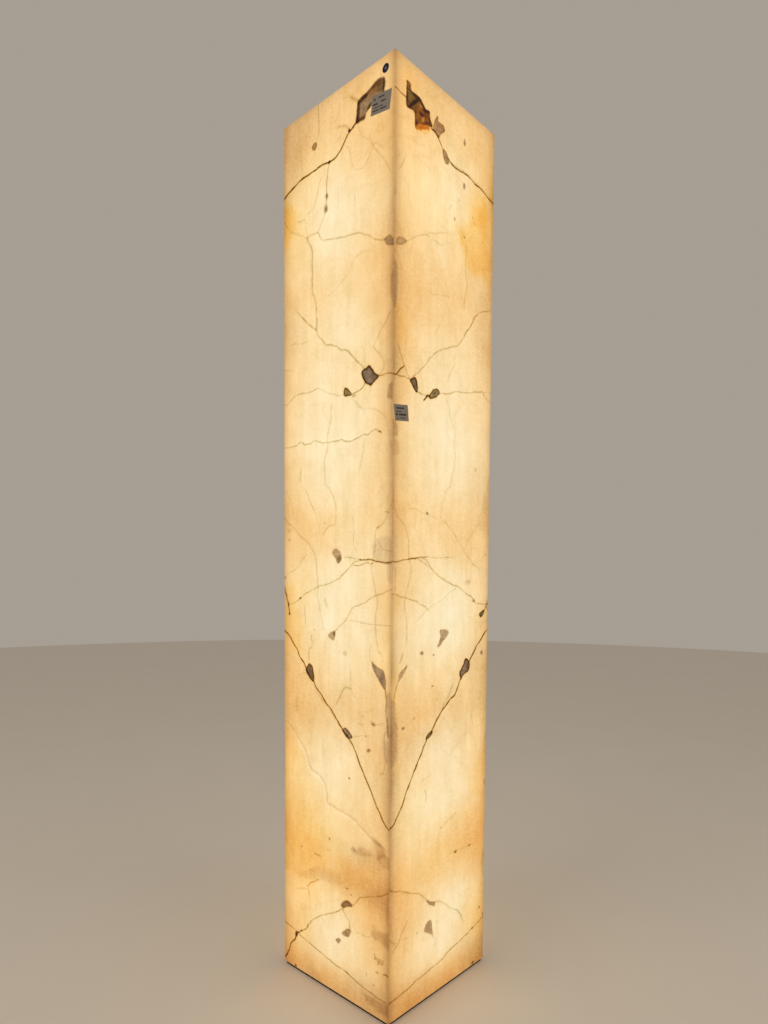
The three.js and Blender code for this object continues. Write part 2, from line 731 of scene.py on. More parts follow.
# The lines of the front slab's leaf, roughly from the top down.
FIRST_VEINS = (
    # the shoulder crack, from the outer edge up to the brown patch
    Vein(SOOT, 2.5, 1.35, ((350, 1847), (330, 1855), (295, 1866), (270, 1868), (240, 1869), (225, 1871),
        (197, 1869), (180, 1868), (165, 1872), (150, 1883), (137, 1897), (118, 1907), (106, 1912)),
        wander=0.8),
    Vein(UMBER, 4.4, 0.42, ((104, 1952), (114, 1958), (122, 1964), (130, 1974)), (0, 14)),
    Vein(UMBER, 4.0, 0.5, ((131, 1908), (140, 1918), (155, 1924), (180, 1928)), (0, 34)),
    Vein(TAN, 2.0, 1.0, ((238, 1922), (228, 1940), (227, 1970), (229, 2000))),
    Vein(TAN, 1.6, 0.6, ((300, 1990), (293, 1950), (285, 1900), (279, 1875)), (30, 0)),
    Vein(UMBER, 2.2, 0.62, ((192, 1867), (197, 1850), (200, 1825), (200, 1806), (202, 1785))),
    Vein(TAN, 2.0, 1.1, ((206, 1770), (222, 1748), (230, 1738))),
    Vein(UMBER, 2.6, 0.28, ((345, 1795), (330, 1775), (315, 1764), (300, 1757), (280, 1745), (267, 1738))),
    Vein(UMBER, 3.2, 0.48, ((267, 1738), (260, 1724), (250, 1707), (248, 1690), (249, 1650), (247, 1620),
        (240, 1605), (236, 1590), (234, 1570), (233, 1550), (235, 1535)), wander=1.6),
    Vein(UMBER, 1.7, 0.58, ((265, 1738), (250, 1739), (230, 1738), (222, 1726), (212, 1717), (190, 1711),
        (165, 1706), (140, 1702), (100, 1696), (80, 1686), (68, 1680), (50, 1668), (35, 1662), (22, 1659))),
    Vein(TAN, 1.5, 0.8, ((272, 1772), (268, 1750), (264, 1737))),
    Vein(TAN, 1.6, 1.5, ((300, 1783), (285, 1779), (276, 1780))),
    Vein(TAN, 1.6, 1.2, ((215, 1848), (228, 1832), (240, 1797), (255, 1790), (268, 1787)), (10, 10)),
    Vein(TAN, 2.0, 0.8, ((72, 1880), (65, 1860), (58, 1845), (45, 1830), (28, 1810), (15, 1790), (5, 1775)),
        (15, 5)),
    Vein(TAN, 2.0, 0.7, ((115, 1790), (112, 1760), (112, 1740)), (20, 20)),
    # the faint web under the shoulder crack
    Vein(TAN, 1.8, 0.7, ((140, 1882), (128, 1862), (122, 1838), (108, 1822), (84, 1819), (66, 1838),
        (54, 1850), (34, 1836), (22, 1826)), (10, 10)),
    Vein(TAN, 1.6, 0.55, ((106, 1906), (92, 1880), (70, 1862), (60, 1848)), (10, 0)),
    Vein(TAN, 2.4, 0.45, ((204, 1596), (180, 1600), (160, 1610), (132, 1626), (112, 1648), (84, 1656),
        (60, 1650)), (15, 15)),
    # the brown line down to the big grey inclusion
    Vein(UMBER, 1.8, 0.7, ((308, 1598), (298, 1587), (285, 1573), (265, 1557), (250, 1544), (235, 1535),
        (230, 1524), (222, 1515), (205, 1500), (197, 1494), (186, 1492), (170, 1486), (155, 1476),
        (137, 1471), (126, 1463), (119, 1455), (110, 1447), (95, 1434), (86, 1427), (80, 1421)), (25, 0)),
    Vein(SOOT, 2.4, 0.36, ((41, 1401), (30, 1400), (10, 1400), (0, 1398))),
    Vein(UMBER, 1.6, 1.0, ((120, 1377), (112, 1379), (98, 1381), (90, 1384), (83, 1389), (78, 1395))),
    Vein(UMBER, 1.3, 0.6, ((148, 1397), (147, 1394), (145, 1388), (142, 1384))),
    Vein(TAN, 1.8, 1.0, ((142, 1380), (158, 1381), (178, 1387), (200, 1394), (217, 1403))),
    Vein(UMBER, 1.7, 0.52, ((350, 1388), (335, 1391), (325, 1396), (308, 1405), (295, 1406), (275, 1404),
        (255, 1404), (235, 1407), (220, 1406)), wander=1.4),
    Vein(UMBER, 2.6, 0.28, ((178, 1373), (183, 1355), (186, 1330), (195, 1306), (197, 1290), (196, 1280),
        (201, 1260), (208, 1245), (205, 1232), (203, 1200), (190, 1185), (177, 1165), (169, 1145),
        (169, 1115), (170, 1107), (180, 1105), (192, 1102), (205, 1092), (218, 1080)), (20, 10),
        wander=1.6),
    # the ragged line across, with a pale lip above it
    Vein(UMBER, 1.7, 0.62, ((350, 1291), (333, 1291), (305, 1293), (293, 1297), (285, 1297), (272, 1291),
        (255, 1292), (240, 1294), (210, 1287), (185, 1287), (160, 1287), (150, 1289), (143, 1284),
        (125, 1280), (100, 1282), (85, 1289), (75, 1290), (68, 1288), (60, 1293), (48, 1295), (38, 1288),
        (25, 1282)), (0, 10), wander=2.0),
    Vein(CHALK, 2.6, 0.5, ((350, 1294), (305, 1296), (285, 1300), (255, 1295), (210, 1290), (150, 1292),
        (125, 1283), (100, 1285), (75, 1293), (48, 1299)), (10, 10), wander=2.0),
    Vein(SOOT, 2.6, 0.7, ((39, 1289), (32, 1287)), (3, 3)),
    Vein(TAN, 1.8, 0.55, ((120, 1370), (110, 1360), (102, 1350), (90, 1343), (80, 1333), (70, 1315)),
        (0, 15)),
    Vein(UMBER, 1.8, 0.2, ((105, 1362), (98, 1352), (80, 1342), (60, 1339), (40, 1331), (24, 1320),
        (14, 1300), (8, 1270), (0, 1250))),
    Vein(UMBER, 1.7, 0.36, ((10, 1520), (18, 1505), (30, 1493), (48, 1472), (55, 1462), (50, 1455),
        (32, 1437), (24, 1420), (30, 1410), (40, 1402))),
    Vein(TAN, 1.6, 0.7, ((330, 1523), (310, 1521), (280, 1516), (250, 1517)), (15, 15)),
    Vein(TAN, 1.6, 0.8, ((350, 1470), (335, 1466), (320, 1463), (310, 1455)), (0, 10)),
    Vein(TAN, 5.0, 0.7, ((285, 1245), (290, 1220), (287, 1200)), (20, 20)),
    Vein(TAN, 1.8, 0.7, ((80, 1280), (83, 1260), (88, 1240), (95, 1220), (100, 1205)), (0, 15)),
    # the black break at the outer edge and the line that runs in from it
    Vein(SOOT, 4.0, 0.5, ((350, 964), (346, 950), (341, 940), (338, 932), (335, 925)), wander=1.8),
    Vein(SOOT, 2.6, 0.7, ((335, 925), (333, 917), (331, 908), (330, 898)), wander=1.2),
    Vein(SOOT, 2.6, 0.95, ((350, 860), (345, 856), (328, 843), (315, 827), (300, 813), (292, 800),
        (285, 792), (278, 785), (268, 770), (258, 756), (243, 745), (232, 730), (222, 722), (205, 707),
        (190, 693), (170, 675), (157, 660), (143, 646), (130, 636)), wander=1.2),
    Vein(SOOT, 2.5, 0.84, ((130, 636), (115, 621), (108, 613), (98, 595), (87, 574), (75, 555), (60, 533),
        (45, 508), (35, 490), (22, 471), (8, 457), (0, 452)), wander=1.3),
    Vein(TAN, 1.4, 1.0, ((262, 752), (246, 738), (228, 718), (205, 699), (180, 680), (160, 655)), (15, 25)),
    Vein(UMBER, 1.8, 0.6, ((333, 924), (325, 922), (315, 925), (297, 932), (290, 938), (275, 948),
        (245, 960), (225, 968), (205, 971), (188, 977), (158, 987), (150, 992), (130, 1007), (110, 1021),
        (100, 1025), (86, 1028)), wander=1.2),
    Vein(SOOT, 2.2, 0.72, ((92, 1029), (75, 1028), (65, 1029), (48, 1026), (30, 1023), (10, 1022),
        (0, 1024))),
    Vein(UMBER, 1.5, 0.66, ((150, 1033), (135, 1033), (120, 1032), (105, 1030), (90, 1029)), (15, 0)),
    Vein(UMBER, 1.4, 1.0, ((52, 1022), (60, 1020), (70, 1022), (80, 1019), (95, 1015), (110, 1018))),
    Vein(UMBER, 2.4, 0.3, ((2, 1140), (5, 1135), (12, 1122), (15, 1115), (22, 1105), (30, 1098), (39, 1095),
        (45, 1085), (48, 1055), (53, 1028), (58, 1020), (56, 1000), (48, 970), (40, 945), (40, 930),
        (46, 900), (43, 870), (38, 848), (33, 830)), wander=1.4),
    Vein(UMBER, 1.4, 0.5, ((8, 1124), (14, 1126), (20, 1125))),
    Vein(UMBER, 1.7, 0.5, ((0, 968), (20, 960), (35, 956), (55, 948), (85, 934), (100, 928), (110, 926),
        (122, 915), (137, 893), (155, 880), (170, 868)), wander=1.2),
    Vein(TAN, 1.5, 0.9, ((130, 896), (100, 895), (70, 892), (0, 891)), (15, 0)),
    Vein(TAN, 3.0, 0.8, ((350, 1130), (335, 1115), (325, 1110), (305, 1095), (285, 1080), (265, 1069),
        (250, 1055), (237, 1038), (233, 1015), (229, 985), (227, 970))),
    Vein(TAN, 2.4, 0.7, ((345, 1195), (338, 1180), (322, 1163), (316, 1140), (312, 1125), (303, 1117)),
        (10, 15)),
    Vein(TAN, 3.0, 0.8, ((285, 1200), (280, 1193), (265, 1178), (258, 1165), (245, 1145), (235, 1130)),
        (20, 20)),
    Vein(TAN, 1.6, 0.8, ((115, 1120), (110, 1095), (113, 1080), (110, 1060), (100, 1045)), (0, 10)),
    Vein(TAN, 2.0, 0.8, ((225, 968), (228, 958), (230, 945), (222, 920), (215, 895), (208, 872)),
        wander=1.4),
    Vein(TAN, 5.0, 0.8, ((205, 945), (200, 930), (193, 916)), (10, 10)),
    Vein(TAN, 3.0, 1.0, ((247, 860), (250, 845), (247, 835), (250, 824), (256, 822), (258, 812),
        (258, 790)), (10, 5)),
    Vein(TAN, 2.4, 0.9, ((275, 930), (273, 900), (270, 880), (268, 870)), (15, 15)),
    Vein(TAN, 1.6, 1.0, ((345, 990), (330, 996), (305, 1007), (292, 1020), (275, 1035), (262, 1045)),
        (8, 12)),
    Vein(TAN, 1.6, 0.8, ((60, 850), (56, 845), (60, 835), (58, 808)), (10, 10)),
    Vein(TAN, 1.6, 1.2, ((30, 835), (26, 825), (22, 815))),
    Vein(UMBER, 1.7, 0.3, ((35, 1063), (28, 1052), (15, 1048), (0, 1045))),
    Vein(UMBER, 2.6, 0.45, ((349, 612), (350, 585), (348, 545), (350, 505), (350, 470)), (10, 30)),
    # below the middle, towards the matched corner
    Vein(UMBER, 3.4, 0.6, ((16, 758), (14, 750), (11, 730), (13, 710), (9, 690), (8, 670), (7, 655)),
        wander=1.2),
    Vein(TAN, 2.6, 0.9, ((15, 665), (17, 650), (16, 630), (15, 610), (8, 600)), wander=1.2),
    Vein(TAN, 2.0, 0.9, ((12, 600), (15, 590), (18, 580), (22, 572), (30, 571))),
    Vein(TAN, 1.6, 0.8, ((60, 670), (75, 670), (95, 668), (100, 665)), (5, 10)),
    Vein(TAN, 1.6, 0.9, ((40, 677), (30, 679), (15, 682)), (5, 5)),
    Vein(TAN, 1.6, 0.8, ((110, 636), (95, 640), (80, 644)), (0, 8)),
    Vein(TAN, 3.4, 1.0, ((118, 743), (130, 745), (142, 740), (153, 722), (165, 703), (172, 697)), (0, 15)),
    Vein(TAN, 2.0, 0.6, ((120, 800), (120, 760), (118, 743), (110, 733), (100, 720), (92, 712)), (20, 10)),
    Vein(TAN, 1.6, 1.2, ((268, 763), (285, 758), (295, 752)), (0, 8)),
    Vein(TAN, 8.0, 0.5, ((305, 710), (302, 680), (303, 655)), (20, 20)),
    # the step, pale with a painted highlight, its painted shade below it
    *step_veins(((350, 633), (330, 626), (315, 616), (304, 604), (290, 589), (277, 577), (268, 563),
        (262, 548), (252, 533), (240, 527), (220, 520), (206, 508), (198, 490), (196, 470), (192, 464),
        (180, 460), (160, 456), (130, 450), (100, 442), (82, 431), (60, 419), (30, 408), (0, 400))),
    # the lower cross lines
    Vein(UMBER, 1.9, 0.6, ((0, 312), (12, 303), (30, 293), (60, 281), (85, 270), (97, 255), (105, 247),
        (113, 243))),
    Vein(UMBER, 2.4, 0.52, ((140, 228), (142, 222), (133, 212), (122, 203), (119, 190), (120, 181))),
    Vein(UMBER, 2.0, 0.64, ((140, 222), (147, 219), (155, 212), (170, 203), (190, 192), (210, 182),
        (225, 172), (245, 155), (255, 142), (263, 131), (270, 122), (285, 112), (297, 104)), wander=1.2),
    Vein(SOOT, 3.0, 0.76, ((296, 105), (303, 98), (308, 84), (318, 74), (326, 62), (333, 45), (340, 30),
        (350, 15)), wander=1.6),
    Vein(SOOT, 2.0, 0.3, ((263, 131), (270, 122), (285, 112), (297, 104)), wander=1.2),
    Vein(UMBER, 2.0, 0.95, ((350, 113), (335, 111), (315, 105), (290, 98), (262, 93), (240, 89), (215, 84),
        (188, 79), (165, 75), (138, 74), (112, 68), (85, 61), (55, 57), (25, 55), (5, 55)), (0, 6),
        wander=1.2),
    Vein(RUST, 6.0, 0.4, ((262, 232), (258, 218), (256, 206)), (8, 8)),
    Vein(RUST, 3.0, 0.7, ((265, 236), (253, 247), (240, 256), (220, 267)), (4, 8), wander=1.6),
    Vein(TAN, 2.0, 0.9, ((305, 213), (285, 222), (265, 228)), (8, 4)),
    Vein(UMBER, 3.0, 0.75, ((240, 326), (225, 326), (217, 327)), (4, 4)),
    Vein(TAN, 1.8, 0.8, ((200, 345), (190, 350), (180, 352)), (5, 5)),
    Vein(TAN, 1.8, 0.9, ((100, 182), (75, 184), (60, 186), (50, 192)), (5, 8)),
    Vein(FAWN, 2.4, 1.1, ((15, 118), (8, 120), (0, 118))),
    # the broken tracery beside the matched corner
    Vein(UMBER, 2.2, 0.48, ((42, 155), (40, 148), (42, 142), (35, 145), (22, 146), (17, 148), (18, 140),
        (30, 140), (33, 133)), wander=1.6),
)

# The closed patches of the front slab's leaf, roughly from the top down.
FIRST_INCLUSIONS = (
    # the brown patch behind the sheet label
    Inclusion(SLATE, 0.98, ((104, 1949), (98, 1952), (90, 1954), (82, 1955), (74, 1957), (66, 1959),
        (60, 1962), (50, 1965), (42, 1965), (34, 1962), (29, 1959), (27, 1953), (26, 1946), (30, 1938),
        (30, 1932), (60, 1926), (68, 1923), (74, 1921), (80, 1918), (82, 1912), (84, 1908), (90, 1908),
        (98, 1909), (106, 1909), (110, 1914), (109, 1920), (108, 1927), (106, 1939)), 0.06, 3.0, 4.5,
        (Spot(UMBER, 1.4, (104, 1932), (11, 46), 3.0), smudge(RUST, 0.6, (104, 1932), (13, 46), 3.0),
        Spot(SOOT, 0.9, (90, 1949), (34, 10), -14.0, 0.8), smudge(SOOT, 0.5, (81, 1950), (10, 9)),
        smudge(UMBER, 1.1, (52, 1959), (46, 12), -9.0), smudge(RUST, 0.6, (50, 1954), (50, 22), -8.0),
        Spot(UMBER, 2.0, (31, 1946), (9, 34), 5.0, 0.8), smudge(SOOT, 0.6, (105, 1914), (14, 12)),
        smudge(UMBER, 1.1, (92, 1912), (32, 9)), smudge(RUST, 0.5, (90, 1912), (32, 12)),
        smudge(UMBER, 1.8, (71, 1925), (18, 7), -35.0), smudge(UMBER, 0.5, (42, 1948), (14, 18)))),
    Inclusion(FAWN, 1.22, ((247, 1914), (238, 1911), (234, 1917), (237, 1925), (244, 1925), (249, 1920)),
        0.35, 2.4),
    Inclusion(SLATE, 0.62, ((25, 1660), (12, 1664), (4, 1656), (0, 1650), (0, 1642), (10, 1645),
        (20, 1651)), 0.15, 2.6),
    # the big grey one, and the small one beside it
    Inclusion(SLATE, 1.36, ((88, 1418), (76, 1422), (66, 1424), (60, 1417), (50, 1407), (41, 1401),
        (47, 1396), (58, 1389), (64, 1387), (76, 1394), (81, 1400), (86, 1409)), 0.8, 2.8, 2.0,
        (smudge(CHALK, 0.3, (68, 1408), (20, 10), 30.0), smudge(UMBER, 0.4, (56, 1402), (14, 14)))),
    Inclusion(UMBER, 1.2, ((141, 1392), (134, 1391), (128, 1386), (121, 1378), (128, 1376), (142, 1379)),
        0.75, 2.2),
    zone(FAWN, 0.5, 4.0, (14, 1352), (0, 1352), (0, 1380), (8, 1380), (14, 1368)),
    # the oval, brown on one side and mauve in the middle
    Inclusion(FAWN, 0.8, ((180, 1045), (168, 1052), (156, 1047), (150, 1035), (152, 1026), (160, 1021),
        (167, 1030), (176, 1039)), 0.16, 3.0, 3.5, (smudge(UMBER, 0.7, (157, 1030), (14, 24), 25.0),)),
    # the wedge under the middle
    Inclusion(FAWN, 0.78, ((192, 858), (180, 866), (170, 868), (170, 858), (174, 848), (184, 851)), 0.22,
        2.4, 3.0, (smudge(SOOT, 0.42, (173, 862), (10, 12)),)),
    Inclusion(SLATE, 0.9, ((268, 768), (262, 780), (258, 785), (252, 782), (246, 774), (241, 750),
        (246, 745), (258, 756)), 0.7, 3.0, 2.0, (smudge(UMBER, 0.7, (256, 766), (30, 60)),
        smudge(SOOT, 0.3, (246, 756), (9, 20), 10.0))),
    Inclusion(SLATE, 1.2, ((143, 645), (137, 651), (129, 649), (114, 636), (120, 631), (133, 633)), 0.5,
        2.4, 2.0),
    # the leaf shape beside the matched corner
    Inclusion(SLATE, 0.78, ((55, 811), (50, 796), (40, 781), (28, 767), (18, 757), (14, 766), (16, 783),
        (24, 796), (38, 800), (47, 806)), 0.16, 2.6, 2.6, (smudge(SLATE, 0.45, (24, 778), (18, 34), 20.0),
        smudge(UMBER, 0.35, (48, 803), (14, 14)))),
    zone(SLATE, 0.26, 5.0, (12, 745), (11, 700), (8, 655), (0, 652), (0, 745)),
    zone(SLATE, 0.12, 5.0, (16, 640), (13, 606), (0, 600), (0, 644)),
    # the three low ones
    Inclusion(FAWN, 1.5, ((112, 240), (124, 249), (140, 240), (147, 231), (140, 226), (125, 235)), 0.36,
        2.4, 2.0),
    Inclusion(FAWN, 1.05, ((116, 181), (128, 178), (143, 164), (135, 159), (124, 162), (117, 174)), 0.32,
        2.4, 2.0, (smudge(UMBER, 0.4, (130, 168), (12, 10)),)),
    Inclusion(FAWN, 1.05, ((164, 139), (154, 146), (149, 143), (155, 133), (162, 135)), 0.3, 2.2, 2.0),
    # zones with soft sides: honey at the outer edge, smoke beside the matched corner
    zone(HONEY, 0.5, 22.0, (345, 1825), (318, 1815), (308, 1780), (320, 1752), (350, 1745), (350, 1825)),
    zone(HONEY, 0.42, 28.0, (350, 965), (320, 960), (290, 900), (285, 850), (300, 805), (350, 800)),
    zone(HONEY, 0.16, 24.0, (350, 625), (310, 602), (268, 550), (240, 505), (215, 440), (205, 340),
        (215, 285), (350, 280)),
    zone(HONEY, 0.12, 45.0, (215, 500), (140, 450), (60, 412), (50, 330), (90, 290), (350, 280),
        (350, 600)),
    zone(SLATE, 0.16, 9.0, (48, 1070), (50, 1030), (20, 1022), (0, 1022), (0, 1068)),
    zone(SLATE, 0.14, 6.0, (10, 1022), (10, 985), (0, 980), (0, 1022)),
    zone(FAWN, 0.32, 9.0, (118, 370), (108, 383), (98, 379), (90, 389), (75, 391), (70, 383), (60, 386),
        (52, 378), (72, 374), (85, 372), (100, 366),
        inside=(smudge(FAWN, 0.25, (106, 376), (20, 10), 30.0),)),
    zone(FAWN, 0.26, 12.0, (50, 417), (30, 413), (14, 405), (6, 390), (0, 384), (0, 352), (12, 362),
        (20, 356), (34, 372), (40, 390), inside=(smudge(FAWN, 0.4, (30, 411), (44, 7), 18.0),
        smudge(FAWN, 0.35, (34, 380), (40, 10), -30.0), smudge(FAWN, 0.25, (14, 392), (24, 12), 30.0))),
    zone(FAWN, 0.17, 12.0, (300, 262), (272, 270), (246, 290), (205, 298), (150, 292), (150, 276),
        (210, 272), (250, 258), (290, 250), inside=(smudge(FAWN, 0.3, (262, 284), (44, 12), 12.0),)),
    zone(FAWN, 0.38, 12.0, (46, 212), (38, 186), (0, 180), (0, 212)),
    zone(FAWN, 0.4, 12.0, (80, 48), (40, 52), (0, 52), (0, 20), (60, 30)),
    zone(FAWN, 0.16, 14.0, (255, 35), (220, 32), (215, 0), (258, 0)),
    zone(FAWN, 0.3, 3.5, (6, 1590), (5, 1540), (0, 1536), (0, 1594)),
)

# The dots and knots of the front slab's leaf, roughly from the top down.
FIRST_SPOTS = (
    Spot(SOOT, 1.9, (130, 1905), (7, 5)), Spot(SOOT, 1.5, (192, 1868), (7, 6)),
    Spot(SOOT, 0.4, (240, 1869), (6, 4)), Spot(SOOT, 0.8, (118, 1907), (6, 4)),
    Spot(FAWN, 1.2, (200, 1803), (9, 12)), Spot(FAWN, 1.15, (203, 1777), (14, 18), 0.0, 0.75),
    smudge(UMBER, 0.5, (203, 1777), (9, 12)), Spot(TAN, 1.5, (112, 1373), (14, 6)),
    Spot(SOOT, 0.35, (334, 920), (7, 7)), Spot(SOOT, 0.7, (330, 899), (6, 6)),
    Spot(SOOT, 0.65, (290, 938), (7, 5)), Spot(UMBER, 0.35, (39, 1095), (6, 6)),
    Spot(UMBER, 0.4, (205, 1110), (6, 4)), Spot(UMBER, 0.25, (240, 866), (6, 4)),
    Spot(UMBER, 0.35, (209, 870), (5, 4)), Spot(UMBER, 0.5, (346, 985), (10, 8)),
    Spot(TAN, 0.85, (137, 821), (15, 12)), Spot(CHALK, 0.5, (137, 821), (9, 6)),
    smudge(TAN, 0.8, (330, 1097), (16, 10)), smudge(TAN, 0.8, (330, 1075), (12, 8)),
    Spot(FAWN, 1.05, (49, 675), (14, 8), 8.0), Spot(FAWN, 0.7, (72, 645), (8, 4)),
    Spot(FAWN, 1.05, (62, 615), (12, 9), -20.0), Spot(UMBER, 0.8, (123, 539), (8, 5)),
    Spot(FAWN, 0.3, (80, 688), (7, 5)), Spot(SOOT, 1.0, (304, 96), (9, 17), 15.0),
    Spot(SOOT, 0.25, (262, 134), (6, 10)), Spot(SOOT, 0.6, (286, 112), (7, 5)),
    Spot(UMBER, 2.2, (307, 11), (6, 6)), Spot(FAWN, 0.8, (285, 330), (7, 4)),
    Spot(FAWN, 0.6, (186, 378), (8, 8)), Spot(FAWN, 0.8, (128, 277), (8, 5)),
    Spot(FAWN, 0.7, (115, 266), (6, 5)), Spot(UMBER, 0.6, (34, 114), (10, 5)),
    Spot(FAWN, 0.25, (66, 96), (6, 10)), Spot(FAWN, 0.4, (44, 79), (8, 6)),
    smudge(UMBER, 0.35, (28, 143), (26, 12)), Spot(UMBER, 0.15, (40, 146), (5, 10)),
)

